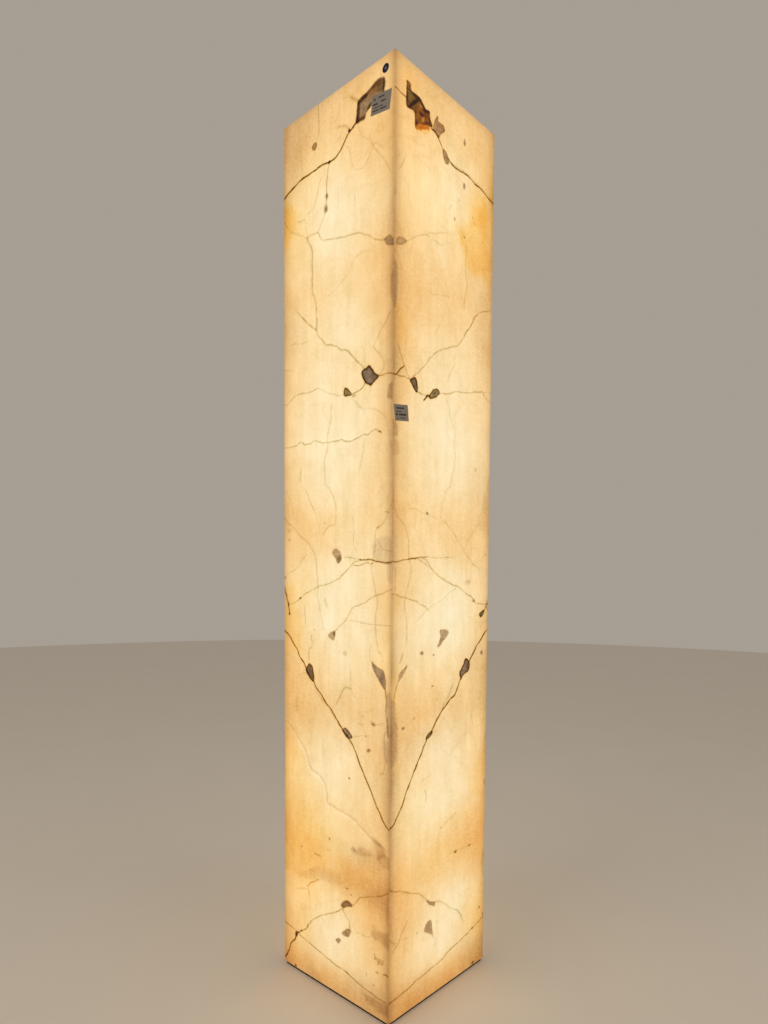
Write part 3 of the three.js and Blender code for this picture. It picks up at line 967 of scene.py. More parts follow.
# The lines of the right slab's leaf, roughly from the top down.
SECOND_VEINS = (
    Vein(SOOT, 2.4, 0.75, ((0, 1921), (18, 1917), (36, 1916))),
    Vein(SOOT, 2.4, 1.7, ((115, 1893), (120, 1893), (128, 1891), (138, 1885))),
    Vein(SOOT, 1.8, 0.95, ((138, 1885), (143, 1879), (148, 1873), (154, 1867))),
    # the shoulder crack
    Vein(SOOT, 2.3, 1.35, ((172, 1857), (180, 1852), (195, 1847), (210, 1847), (230, 1850), (250, 1850),
        (275, 1844), (295, 1844), (315, 1838), (335, 1832), (350, 1829)), wander=0.9),
    Vein(TAN, 2.2, 0.8, ((172, 1857), (200, 1851), (240, 1854), (290, 1848), (350, 1834)), wander=1.2),
    Vein(TAN, 1.6, 0.7, ((182, 1725), (178, 1740), (185, 1755), (195, 1760)), (8, 8)),
    Vein(TAN, 2.2, 0.7, ((38, 1615), (55, 1628), (75, 1643), (100, 1655), (115, 1665), (135, 1672),
        (165, 1685), (195, 1690)), (0, 25), wander=1.4),
    Vein(TAN, 1.8, 0.9, ((100, 1655), (120, 1654), (150, 1653), (165, 1656)), (0, 12)),
    Vein(TAN, 2.0, 0.8, ((12, 1755), (20, 1765), (27, 1778), (37, 1800)), (4, 8)),
    Vein(TAN, 1.6, 0.9, ((8, 1770), (12, 1785), (15, 1790)), (3, 3)),
    Vein(TAN, 1.8, 1.3, ((240, 1700), (243, 1670), (240, 1640), (246, 1600)), (15, 0)),
    # the long diagonal
    Vein(UMBER, 1.8, 0.55, ((350, 1570), (325, 1561), (300, 1549), (280, 1533), (268, 1514), (255, 1496),
        (240, 1477), (230, 1464), (218, 1450), (198, 1440), (180, 1432), (160, 1423), (140, 1411),
        (120, 1395), (107, 1380), (88, 1360), (70, 1345), (60, 1336)), (10, 0), wander=1.3),
    Vein(SOOT, 1.5, 0.25, ((283, 1536), (268, 1514), (255, 1496), (238, 1475)), (8, 8), wander=1.3),
    Vein(SOOT, 2.0, 0.95, ((0, 1330), (8, 1330), (13, 1334), (20, 1342), (35, 1356)), (0, 8)),
    Vein(UMBER, 2.4, 0.55, ((15, 1395), (27, 1370), (40, 1348), (53, 1331)), (6, 0)),
    Vein(UMBER, 1.7, 0.8, ((8, 1330), (25, 1331), (40, 1332), (55, 1329))),
    Vein(SOOT, 3.0, 1.2, ((116, 1309), (110, 1308), (104, 1303), (97, 1296)), (0, 4)),
    Vein(UMBER, 1.8, 0.9, ((110, 1309), (90, 1309), (76, 1311))),
    Vein(UMBER, 1.7, 0.7, ((150, 1322), (160, 1326), (180, 1329), (205, 1340), (225, 1344), (255, 1349),
        (285, 1357), (305, 1362), (315, 1364), (325, 1354), (332, 1351)), wander=1.2),
    Vein(UMBER, 1.6, 0.3, ((318, 1364), (330, 1366), (350, 1368))),
    Vein(TAN, 1.6, 1.5, ((350, 1346), (335, 1350))),
    Vein(UMBER, 3.6, 0.26, ((248, 1600), (245, 1580), (241, 1565), (238, 1550), (238, 1535)), (0, 12),
        wander=1.6),
    Vein(TAN, 4.0, 0.36, ((208, 1430), (200, 1395), (190, 1380), (175, 1350)), (12, 15)),
    Vein(UMBER, 2.6, 0.2, ((173, 1317), (182, 1308), (188, 1295), (190, 1280), (205, 1255), (208, 1240),
        (206, 1220), (210, 1200), (209, 1185), (208, 1170), (200, 1145), (192, 1122), (182, 1115),
        (172, 1090), (163, 1063), (160, 1040)), (8, 15), wander=1.6),
    Vein(TAN, 1.6, 0.6, ((110, 1534), (125, 1533), (150, 1542), (190, 1548)), (8, 12)),
    Vein(TAN, 1.6, 0.7, ((150, 1478), (143, 1463), (137, 1455)), (6, 6)),
    Vein(TAN, 1.6, 0.7, ((310, 1460), (318, 1478)), (6, 6)),
    # the lines round the middle
    Vein(TAN, 1.7, 0.65, ((50, 1058), (70, 1061), (85, 1058), (100, 1055), (130, 1050), (155, 1045)),
        (8, 10)),
    Vein(UMBER, 2.6, 0.28, ((5, 1100), (5, 1060), (12, 1050), (20, 1036), (30, 1030), (38, 1024),
        (46, 1012), (51, 995), (52, 975), (54, 955), (60, 938), (60, 925), (53, 900), (46, 882), (42, 868),
        (41, 855), (47, 830), (50, 800), (48, 768)), (10, 20), wander=1.3),
    Vein(SOOT, 2.0, 0.6, ((0, 946), (18, 947), (35, 951), (55, 954), (80, 957)), (0, 12)),
    Vein(UMBER, 1.7, 1.0, ((60, 954), (85, 958), (105, 960), (125, 961)), (10, 20)),
    Vein(TAN, 1.6, 1.0, ((118, 961), (145, 961), (175, 963), (220, 966)), (0, 15)),
    Vein(UMBER, 1.5, 0.5, ((75, 955), (82, 957), (90, 953), (100, 950), (110, 945), (118, 940))),
    Vein(UMBER, 1.9, 0.7, ((98, 958), (115, 951), (130, 937), (148, 925), (168, 916), (190, 908),
        (208, 902), (228, 899), (245, 891), (262, 883), (280, 876), (291, 866), (303, 861), (325, 858),
        (350, 857)), wander=1.2),
    Vein(UMBER, 1.7, 0.65, ((0, 880), (15, 878), (35, 874), (60, 869), (90, 861), (108, 854), (120, 845)),
        wander=1.1),
    Vein(TAN, 1.6, 0.7, ((75, 818), (95, 833), (113, 845), (130, 853), (150, 861), (175, 872), (195, 884),
        (220, 895)), (8, 0)),
    Vein(TAN, 3.0, 0.6, ((165, 1050), (180, 1040), (208, 1020), (232, 998), (250, 981), (268, 966),
        (285, 953), (300, 948), (320, 935)), (10, 10)),
    Vein(TAN, 6.0, 0.35, ((250, 985), (258, 998), (275, 1018), (292, 1038), (305, 1055), (318, 1080),
        (328, 1115), (342, 1145), (350, 1170)), wander=2.0),
    Vein(SOOT, 1.8, 0.6, ((334, 843), (343, 856), (350, 862))),
    Vein(RUST, 2.0, 0.26, ((290, 830), (300, 832), (316, 834)), (6, 0)),
    Vein(UMBER, 3.0, 0.35, ((12, 935), (13, 920), (12, 905), (11, 885)), (6, 6)),
    # the long arm
    Vein(SOOT, 2.5, 0.9, ((350, 798), (338, 790), (326, 778), (306, 761), (288, 740), (276, 725)),
        wander=1.1),
    Vein(SOOT, 2.5, 1.0, ((242, 686), (230, 668), (218, 652), (205, 645), (190, 634), (176, 625),
        (158, 607), (143, 590), (137, 583)), wander=1.1),
    Vein(SOOT, 2.5, 1.0, ((120, 568), (112, 555), (98, 534), (83, 514), (70, 494), (53, 467), (38, 439),
        (24, 422), (14, 411), (0, 401)), wander=1.2),
    Vein(CHALK, 2.4, 0.9, ((222, 652), (205, 637), (180, 618), (160, 596), (148, 578)), (12, 12)),
    Vein(UMBER, 2.2, 0.6, ((23, 700), (18, 690), (10, 665), (12, 655), (14, 650)), (0, 5)),
    Vein(TAN, 2.2, 1.1, ((10, 617), (15, 612), (20, 606), (27, 601)), (3, 3)),
    Vein(TAN, 1.6, 1.6, ((40, 760), (35, 750), (27, 735)), (5, 5)),
    Vein(TAN, 1.6, 0.8, ((290, 615), (287, 600), (293, 577), (296, 572)), (6, 6)),
    Vein(TAN, 6.0, 0.9, ((213, 680), (205, 665), (190, 645), (175, 628)), (10, 10)),
    Vein(TAN, 1.6, 0.7, ((140, 490), (120, 483), (95, 478)), (8, 8)),
    Vein(TAN, 1.8, 1.7, ((115, 460), (120, 445), (118, 430)), (6, 8)),
    # the lower cross lines
    Vein(UMBER, 1.8, 0.62, ((0, 278), (15, 271), (45, 261), (70, 250), (98, 240), (108, 233), (125, 218))),
    Vein(TAN, 2.4, 1.2, ((153, 204), (167, 201), (190, 188), (210, 173), (235, 160), (246, 151), (260, 132),
        (266, 118)), (0, 14)),
    Vein(TAN, 1.8, 0.9, ((90, 158), (100, 159), (118, 158)), (3, 0)),
    Vein(UMBER, 1.6, 0.7, ((146, 138), (150, 130))),
    Vein(UMBER, 2.0, 0.85, ((0, 48), (20, 48), (45, 50), (75, 54), (105, 59), (135, 62), (165, 64),
        (185, 68), (203, 74), (230, 80), (260, 84), (290, 91), (320, 99), (350, 106)), wander=1.2),
    Vein(TAN, 1.8, 1.4, ((10, 145), (18, 152), (30, 160), (40, 175), (55, 190), (62, 197)), (4, 6)),
    Vein(TAN, 1.8, 0.6, ((10, 160), (20, 163), (35, 163), (65, 158)), (3, 8)),
    Vein(TAN, 2.0, 0.8, ((0, 178), (5, 173), (10, 168), (18, 165))),
    Vein(TAN, 1.4, 0.8, ((205, 296), (250, 295), (300, 294)), (10, 10)),
    Vein(TAN, 4.0, 0.5, ((170, 361), (185, 366), (210, 376), (235, 383)), (4, 12)),
)

# The closed patches of the right slab's leaf, roughly from the top down.
SECOND_INCLUSIONS = (
    # the brown patch: black above, streaks in the middle, rust below
    Inclusion(UMBER, 1.03, ((35, 1952), (42, 1954), (48, 1951), (48, 1942), (52, 1938), (66, 1940),
        (77, 1938), (88, 1930), (96, 1925), (108, 1926), (110, 1912), (117, 1902), (116, 1896), (109, 1894),
        (98, 1892), (87, 1887), (76, 1884), (68, 1876), (62, 1876), (60, 1898), (50, 1900), (38, 1898),
        (34, 1905), (34, 1918), (35, 1935)), 0.0, 3.0, 2.6,
        (Spot(UMBER, 0.62, (50, 1922), (64, 44), 40.0, 0.8),
        Spot(RUST, 0.6, (90, 1902), (88, 66), 0.0, 0.8), Spot(HONEY, 2.1, (92, 1901), (84, 66), 0.0, 0.8),
        smudge(RUST, 0.55, (41, 1949), (18, 22)), Spot(SOOT, 0.45, (36, 1924), (8, 62), 0.0, 0.8),
        smudge(SOOT, 0.8, (64, 1937), (44, 12), -3.0), Spot(SOOT, 0.8, (57, 1918), (54, 6), 48.0, 0.8),
        Spot(SOOT, 0.6, (66, 1924), (50, 4), 42.0, 0.8), Spot(SOOT, 0.3, (50, 1908), (34, 4), 40.0, 0.8),
        smudge(CHALK, 1.4, (46, 1924), (30, 6), 55.0), smudge(SOOT, 0.6, (48, 1900), (28, 7)),
        smudge(SOOT, 0.7, (84, 1929), (26, 8), -35.0), Spot(SOOT, 1.0, (99, 1922), (24, 8), 8.0, 0.8),
        smudge(SOOT, 0.9, (82, 1906), (12, 9), 20.0), smudge(SOOT, 0.4, (110, 1905), (9, 30), 25.0),
        smudge(SOOT, 0.35, (62, 1888), (7, 30)), smudge(SOOT, 0.35, (94, 1912), (6, 26), 15.0),
        smudge(RUST, -0.7, (80, 1923), (18, 9), 20.0), smudge(RUST, -1.1, (87, 1897), (11, 17), -30.0),
        smudge(CHALK, 0.5, (87, 1897), (11, 17), -30.0), smudge(UMBER, 0.3, (72, 1886), (26, 10), 30.0),
        smudge(UMBER, 0.6, (104, 1897), (22, 7), 8.0))),
    zone(HONEY, 2.5, 3.6, (62, 1882), (62, 1869), (68, 1866), (74, 1869), (80, 1870), (86, 1876),
        (93, 1879), (101, 1884), (107, 1884), (108, 1894), (98, 1896), (86, 1891), (72, 1883),
        inside=(smudge(RUST, 0.62, (84, 1882), (70, 40), 25.0),
        smudge(UMBER, 0.2, (84, 1882), (70, 40), 25.0), smudge(UMBER, 0.8, (66, 1879), (10, 24), -20.0))),
    zone(HONEY, 0.5, 5.0, (78, 1868), (90, 1868), (104, 1876), (112, 1886), (108, 1890), (92, 1880)),
    Inclusion(FAWN, 1.1, ((121, 1896), (125, 1914), (132, 1926), (137, 1930), (137, 1921), (149, 1920),
        (157, 1920), (159, 1910), (148, 1898), (139, 1887), (131, 1892)), 0.3, 2.4, 2.0,
        (smudge(UMBER, 0.5, (156, 1908), (6, 24), -20.0),)),
    Inclusion(FAWN, 1.15, ((156, 1866), (166, 1865), (174, 1855), (174, 1846), (166, 1841), (158, 1848)),
        0.72, 2.8, 2.0, (smudge(UMBER, 0.35, (166, 1854), (12, 12)),)),
    # the wedge where the upper branch leaves the matched corner
    Inclusion(SLATE, 0.45, ((8, 1600), (12, 1612), (22, 1618), (38, 1616), (24, 1604)), 0.16, 2.4, 2.4),
    Inclusion(SLATE, 1.25, ((54, 1328), (62, 1335), (70, 1337), (75, 1330), (76, 1314), (73, 1309),
        (66, 1316)), 0.85, 2.6, 2.0, (smudge(UMBER, 0.6, (68, 1322), (40, 40)),)),
    Inclusion(UMBER, 1.35, ((150, 1327), (143, 1331), (130, 1326), (117, 1311), (122, 1306), (137, 1312),
        (148, 1321)), 0.7, 2.4, 2.0, (smudge(SLATE, 0.4, (134, 1320), (18, 8), 30.0),)),
    Inclusion(UMBER, 1.85, ((315, 836), (324, 841), (334, 844), (331, 836), (320, 828)), 0.45, 2.4, 1.6),
    Inclusion(SLATE, 1.25, ((240, 703), (251, 717), (259, 730), (266, 730), (276, 718), (274, 706),
        (262, 700), (248, 693), (243, 687), (241, 694)), 0.85, 2.8, 2.0,
        (smudge(SOOT, 0.35, (270, 715), (10, 20)), smudge(CHALK, 0.5, (258, 714), (14, 12)))),
    Inclusion(UMBER, 1.85, ((120, 574), (130, 580), (137, 583), (137, 577), (130, 571), (118, 567)), 0.6,
        2.4, 1.8),
    # the leaf shape beside the matched corner
    Inclusion(FAWN, 0.8, ((52, 732), (44, 719), (33, 706), (23, 700), (27, 714), (34, 721), (44, 727)),
        0.18, 2.4, 2.4, (smudge(SOOT, 0.32, (48, 727), (14, 7), -55.0),)),
    # the brown wedge under the middle
    Inclusion(FAWN, 0.95, ((163, 801), (165, 788), (158, 772), (154, 764), (165, 768), (178, 780),
        (191, 790), (193, 797), (180, 802)), 0.16, 2.6, 3.0,
        (smudge(UMBER, 0.2, (168, 780), (14, 30), -30.0),)),
    Inclusion(FAWN, 1.1, ((126, 217), (138, 210), (153, 205), (152, 196), (143, 202), (130, 209)), 0.35,
        2.4, 2.0),
    Inclusion(FAWN, 0.95, ((118, 154), (124, 166), (136, 170), (143, 163), (146, 138), (137, 141),
        (124, 149)), 0.3, 2.4, 2.2, (smudge(UMBER, 0.35, (132, 158), (16, 14)),)),
    # zones with soft sides
    zone(HONEY, 0.72, 26.0, (312, 1832), (282, 1800), (270, 1770), (245, 1750), (235, 1730), (212, 1720),
        (205, 1700), (222, 1688), (240, 1670), (250, 1642), (300, 1640), (335, 1668), (330, 1740),
        (322, 1800)),
    zone(HONEY, 0.25, 30.0, (330, 1832), (300, 1780), (300, 1640), (350, 1640), (350, 1830)),
    zone(HONEY, 0.3, 14.0, (0, 1480), (36, 1470), (40, 1410), (0, 1400)),
    zone(FAWN, 0.16, 16.0, (350, 1165), (330, 1110), (318, 1070), (300, 1040), (350, 1030)),
    zone(HONEY, 0.3, 30.0, (350, 505), (310, 490), (290, 440), (300, 400), (350, 390)),
    zone(HONEY, 0.1, 55.0, (0, 480), (120, 470), (240, 400), (350, 390), (350, 280), (180, 300), (0, 330)),
    zone(UMBER, 0.12, 4.0, (350, 548), (342, 545), (337, 515), (340, 500), (350, 480)),
    zone(UMBER, 0.12, 5.0, (350, 272), (341, 262), (340, 210), (350, 200)),
    zone(TAN, 0.22, 10.0, (350, 750), (336, 740), (336, 560), (350, 540)),
    zone(SLATE, 0.3, 5.0, (9, 1560), (12, 1520), (7, 1470), (0, 1465), (0, 1566)),
    zone(FAWN, 0.34, 5.0, (5, 1236), (16, 1226), (14, 1206), (0, 1200), (0, 1238)),
    zone(SLATE, 0.3, 8.0, (14, 660), (18, 620), (16, 540), (0, 528), (0, 660)),
    zone(FAWN, 0.2, 8.0, (0, 1200), (20, 1190), (20, 1168), (0, 1162)),
    zone(SOOT, 0.14, 4.0, (350, 872), (343, 866), (342, 846), (350, 838)),
    zone(FAWN, 0.18, 3.0, (0, 1722), (5, 1712), (5, 1698), (0, 1688)),
)

# The dots and knots of the right slab's leaf, roughly from the top down.
SECOND_SPOTS = (
    Spot(FAWN, 1.15, (232, 1921), (8, 17)), Spot(FAWN, 1.25, (232, 1820), (9, 16)),
    Spot(FAWN, 1.0, (199, 1730), (5, 8)), Spot(FAWN, 0.25, (213, 1780), (6, 6)),
    Spot(FAWN, 1.1, (235, 1704), (7, 5)), Spot(FAWN, 0.5, (265, 1761), (5, 5)),
    Spot(TAN, 0.45, (308, 1655), (7, 7)), Spot(TAN, 1.0, (307, 1720), (6, 6)),
    Spot(TAN, 1.0, (275, 1750), (6, 6)), Spot(UMBER, 0.85, (113, 1055), (9, 8)),
    Spot(FAWN, 0.4, (290, 1175), (8, 10)), Spot(FAWN, 0.45, (281, 911), (62, 8)),
    Spot(UMBER, 0.7, (290, 866), (12, 8)), Spot(UMBER, 0.25, (287, 952), (8, 6)),
    Spot(TAN, 0.5, (335, 977), (9, 9)), Spot(FAWN, 1.2, (100, 754), (12, 9)),
    Spot(FAWN, 1.3, (141, 748), (8, 3)), Spot(FAWN, 1.0, (137, 680), (7, 4)),
    Spot(FAWN, 1.3, (40, 601), (12, 6)), Spot(UMBER, 0.9, (325, 743), (10, 10)),
    Spot(FAWN, 0.4, (75, 617), (10, 8)), Spot(FAWN, 0.3, (155, 650), (6, 6)),
    Spot(FAWN, 0.15, (80, 655), (6, 6)), Spot(UMBER, 0.35, (345, 430), (8, 14)),
    Spot(UMBER, 0.3, (92, 158), (6, 5)), Spot(FAWN, 0.25, (163, 157), (8, 8)),
    Spot(FAWN, 0.25, (155, 112), (5, 5)), Spot(SOOT, 0.55, (302, 94), (6, 5)),
    Spot(UMBER, 1.05, (230, 294), (12, 7)), Spot(UMBER, 0.8, (285, 294), (8, 5)),
    Spot(UMBER, 1.1, (331, 134), (6, 6)), Spot(UMBER, 1.2, (307, 11), (10, 8)),
    Spot(UMBER, 1.0, (348, 112), (8, 8)), Spot(RUST, 0.15, (175, 362), (8, 5)),
)

# The broad tones of the front slab's leaf, pigment by pigment.
FIRST_WASHES = (
    # WARM tones: painted light below zero, where a lamp shines through, and painted shade above zero
    *tones(
        WARM,
        (-0.26, (175, 1640), (900, 900)), (-0.8, (180, 1745), (420, 300)), (-0.3, (180, 1560), (380, 220)),
        (-1.1, (185, 1300), (420, 380)), (0.22, (20, 1350), (100, 220)), (-0.95, (200, 910), (460, 330)),
        (-0.25, (340, 1000), (100, 260)), (-0.45, (110, 1040), (340, 220)), (-0.45, (70, 760), (240, 240)),
        (-0.8, (160, 545), (320, 240)), (-0.28, (330, 500), (120, 200)), (-0.35, (260, 490), (200, 200)),
        (-0.5, (120, 395), (300, 110)), (-0.92, (180, 155), (300, 230)), (0.3, (140, 1625), (420, 120)),
        (0.22, (290, 1550), (180, 260)), (-0.25, (0, 1140), (120, 130)), (0.55, (60, 297), (260, 90), 6.0),
        (0.35, (45, 215), (130, 110)), (0.58, (175, 22), (460, 90)), (0.2, (340, 1560), (70, 220)),
        (0.15, (25, 1600), (110, 220)), (-0.28, (230, 1340), (190, 120)), (-0.15, (10, 1150), (60, 180)),
        (0.2, (215, 1105), (150, 120)), (0.2, (160, 950), (150, 120)), (-0.12, (50, 870), (140, 110)),
        (0.35, (350, 868), (50, 110)), (-0.2, (10, 465), (90, 100)), (0.25, (20, 128), (90, 100)),
        (0.3, (350, 128), (40, 90)), (0.25, (315, 43), (120, 90)),
    ),
    *tones(
        HONEY,
        (0.85, (348, 1805), (60, 110)), (0.22, (290, 1890), (220, 170)), (0.26, (320, 1745), (130, 130)),
        (0.32, (300, 310), (220, 170)), (0.1, (320, 160), (120, 160)), (0.18, (300, 945), (120, 120)),
        (-0.28, (0, 660), (60, 190)), (0.22, (325, 462), (80, 100)), (0.24, (265, 380), (200, 130)),
        (0.15, (110, 297), (220, 100)), (0.22, (280, 128), (80, 90)),
    ),
    *tones(
        SLATE,
        (-0.22, (0, 380), (50, 130)), (0.24, (325, 1945), (150, 190)), (0.08, (330, 1545), (90, 130)),
        (-0.22, (0, 950), (56, 300)), (-0.26, (0, 760), (56, 220)), (0.12, (70, 290), (200, 70), 4.0),
        (0.06, (230, 1965), (150, 90)), (-0.08, (0, 1830), (60, 300)), (-0.11, (350, 1310), (50, 260)),
        (-0.1, (0, 1190), (50, 110)), (-0.1, (350, 1030), (50, 110)), (0.1, (0, 790), (40, 90)),
        (0.05, (150, 680), (360, 200)), (0.07, (42, 545), (60, 90)), (-0.09, (340, 542), (80, 110)),
        (-0.07, (290, 214), (160, 100)), (0.18, (50, 43), (170, 90)),
    ),
    *tones(UMBER, (0.1, (350, 1812), (40, 110)), (0.08, (350, 1583), (40, 110))),
    *tones(FAWN, (0.22, (60, 368), (170, 76), -6.0), (0.2, (20, 285), (90, 80))),
)

FIRST_LEAF = Leaf(
    FIRST_VEINS, FIRST_INCLUSIONS, FIRST_SPOTS, FIRST_WASHES, dusk=1.08, seed=11, bow=-35.3, corner=0.1
)

# The broad tones of the right slab's leaf, pigment by pigment.
SECOND_WASHES = (
    # WARM tones: painted light below zero, where a lamp shines through, and painted shade above zero
    *tones(
        WARM,
        (-0.74, (150, 1755), (400, 300)), (-0.98, (200, 1300), (400, 330)),
        (-0.18, (180, 1500), (220, 260)), (-0.6, (200, 1140), (380, 240)), (-1.0, (200, 870), (460, 290)),
        (-0.28, (340, 1000), (110, 260)), (-0.4, (140, 775), (420, 170)), (-0.35, (20, 700), (160, 200)),
        (-0.35, (345, 690), (90, 240)), (-0.35, (290, 590), (180, 160)), (-0.85, (190, 465), (340, 260)),
        (-0.4, (90, 375), (300, 190)), (-0.88, (185, 150), (320, 230)), (0.42, (28, 1362), (100, 140)),
        (0.35, (290, 345), (220, 120)), (0.3, (40, 190), (120, 140)), (1.05, (175, 12), (460, 95)),
        (0.3, (20, 1282), (100, 90)), (-0.2, (25, 1118), (100, 90)), (0.2, (155, 878), (130, 100)),
        (0.18, (320, 800), (70, 90)), (0.25, (160, 720), (130, 100)), (0.18, (110, 488), (130, 90)),
        (0.25, (290, 335), (160, 100)), (0.25, (20, 260), (100, 90)), (0.38, (315, 262), (110, 100)),
        (-0.34, (250, 186), (130, 90)), (0.3, (50, 38), (150, 80)),
    ),
    *tones(
        HONEY,
        (0.5, (345, 1800), (70, 220)), (0.45, (287, 1790), (70, 110)), (0.2, (200, 285), (460, 90)),
        (0.38, (325, 120), (110, 150)), (0.35, (42, 1958), (46, 80)), (0.2, (280, 1785), (60, 100)),
        (-0.25, (316, 1740), (55, 170)), (0.15, (200, 1700), (120, 100)), (-0.15, (0, 1448), (50, 90)),
        (0.25, (0, 111), (45, 80)),
    ),
    *tones(
        SLATE,
        (-0.08, (70, 1760), (230, 240)), (0.06, (150, 560), (200, 90)), (-0.16, (0, 880), (50, 200)),
        (-0.25, (0, 680), (50, 120)), (0.05, (200, 630), (300, 90)), (-0.08, (5, 1910), (70, 180)),
        (0.12, (350, 1690), (40, 120)), (0.08, (325, 1570), (110, 190)), (0.07, (310, 1450), (110, 120)),
        (0.08, (300, 1122), (110, 120)), (0.11, (0, 957), (45, 90)), (0.09, (300, 720), (90, 100)),
        (0.06, (40, 565), (130, 90)), (0.04, (300, 300), (140, 140)), (-0.08, (0, 111), (45, 80)),
        (0.06, (50, 38), (150, 80)),
    ),
    *tones(
        UMBER,
        (0.08, (335, 1957), (80, 110)), (0.23, (350, 1828), (44, 190)), (0.15, (0, 1365), (50, 90)),
        (0.22, (0, 720), (45, 90)), (0.12, (320, 643), (60, 100)), (0.23, (0, 488), (45, 90)),
        (0.22, (320, 38), (120, 90)),
    ),
)

SECOND_LEAF = Leaf(
    SECOND_VEINS, SECOND_INCLUSIONS, SECOND_SPOTS, SECOND_WASHES, dusk=1.0, seed=12, bow=43.3, corner=0.08
)

# The lid is cut square from a piece of the same block.
LID_LEAF = Leaf(
    veins=(
        Vein(UMBER, 1.9, 0.9, ((0, 262), (40, 250), (88, 226), (120, 214), (168, 190), (205, 184),
            (250, 150), (290, 138), (350, 96)), wander=1.6),
        Vein(UMBER, 1.6, 0.7, ((168, 190), (180, 222), (176, 262), (196, 300), (190, 350)), wander=1.6),
        Vein(TAN, 2.4, 1.0, ((88, 226), (96, 180), (84, 130), (100, 84), (92, 30), (100, 0)), wander=1.8),
        Vein(TAN, 1.8, 1.0, ((250, 150), (262, 196), (300, 232), (350, 240)), (0, 10)),
        Vein(TAN, 1.8, 0.9, ((0, 96), (40, 104), (84, 130)), (10, 0)),
        Vein(SLATE, 2.8, 0.4, ((262, 196), (240, 240), (250, 290), (240, 350)), (10, 0)),
        # the shade beside the joints along the low and the high edge
        Vein(UMBER, 16.0, 0.45, ((0, 0), (175, 0), (350, 0)), wander=0.5),
        Vein(UMBER, 16.0, 0.45, ((0, 350), (175, 350), (350, 350)), wander=0.5),
    ),
    inclusions=(
        Inclusion(SLATE, 1.1, ((160, 182), (176, 180), (190, 188), (184, 200), (168, 202), (158, 194)),
            0.7, 2.6, 2.0),
        Inclusion(FAWN, 0.9, ((246, 142), (258, 140), (266, 150), (258, 160), (248, 158)), 0.3, 2.4, 2.2),
    ),
    spots=(
        Spot(FAWN, 1.1, (120, 214), (10, 8)), Spot(FAWN, 0.9, (60, 300), (8, 10)),
        Spot(UMBER, 0.8, (300, 60), (8, 6)),
    ),
    # painted light where the lamp shines through the middle of the lid
    washes=tones(WARM, (-0.35, (175, 175), (300, 300))),
    dusk=1.15,
    seed=15,
)


# ---- from markings to stained stone


class Patch:
    """An inclusion's outline, ready to say how far inside it a point is."""

    ZONE_SOFT = 7.0  # millimetres of soft side above which a patch is drawn as a zone
    ZONE_STEP = 6.0  # millimetres between the points of a zone's outline
    ZONE_WAVE = 46.0  # millimetres between the swells that bend a zone
    CRISP_STEP = 0.9
    CRISP_WAVE = 9.0
    CRISP_BEND = 1.1  # millimetres by which those bend a crisp outline
    PAST_EDGE = 12.0  # millimetres by which a patch runs off the leaf, with its soft side besides
    NEAR = 30.0  # millimetres round a patch within which a point is tested against it

    def __init__(self, inclusion: Inclusion, seed: int) -> None:
        """Rounds the outline off.

        Args:
            inclusion: what it is.
            seed: which noise bends it.
        """
        self.inclusion = inclusion
        self.seed = seed
        self.zone = inclusion.soft > self.ZONE_SOFT
        margin = self.PAST_EDGE + inclusion.soft
        corners = [self._past_edge(point, margin) for point in inclusion.outline]
        line = rounded(corners, self.ZONE_STEP if self.zone else self.CRISP_STEP, closed=True)
        self.line = line if self.zone else [self._rough(u, v) for u, v in line]
        self.tree = KDTree(len(self.line))
        for i, (u, v) in enumerate(self.line):
            self.tree.insert((u, v, 0.0), i)
        self.tree.balance()
        across = [p[0] for p in self.line]
        up = [p[1] for p in self.line]
        reach = inclusion.soft * 1.4
        self.low = (min(across) - reach, min(up) - reach)
        self.high = (max(across) + reach, max(up) + reach)

    def _past_edge(self, point: Point, margin: float) -> Point:
        """Carries a corner that is on the leaf's edge past it, so that the patch runs off the leaf there.

        Args:
            point: the corner.
            margin: how far, in millimetres.

        Returns:
            The corner's place.
        """
        u, v = point
        u = -margin if u <= 0.0 else WIDTH_MM + margin if u >= WIDTH_MM else u
        return (u, -margin if v <= 0.0 else v)

    def _rough(self, u: float, v: float) -> Point:
        """A point of a crisp outline, a little off its smooth line."""
        across, up = swirl(u, v, self.CRISP_WAVE, self.seed), swirl(u, v, self.CRISP_WAVE, self.seed + 0.5)
        return (u + across * self.CRISP_BEND, v + up * self.CRISP_BEND)

    def near(self, u: float, v: float) -> bool:
        """Whether a point is close enough for the patch to reach it."""
        low, high, by = self.low, self.high, self.NEAR
        return low[1] - by < v < high[1] + by and low[0] - by < u < high[0] + by

    def cover(self, u: float, v: float) -> float:
        """How much of the patch's core shows at a point, from 0 to 1.

        Args:
            u: millimetres across.
            v: millimetres up.

        Returns:
            The share.
        """
        if self.zone:
            bend = self.inclusion.soft * 0.7
            across, up = swirl(u, v, self.ZONE_WAVE, self.seed), swirl(u, v, self.ZONE_WAVE, self.seed + 0.5)
            u, v = u + bend * across, v + bend * up
        if not (self.low[0] < u < self.high[0] and self.low[1] < v < self.high[1]):
            return 0.0
        depth = self.tree.find((u, v, 0.0))[2]
        within = False
        before = self.line[-1]
        for here in self.line:
            if (here[1] > v) != (before[1] > v):
                if u < (before[0] - here[0]) * (v - here[1]) / (before[1] - here[1]) + here[0]:
                    within = not within
            before = here
        return smoothstep(0.5 + (depth if within else -depth) / self.inclusion.soft)


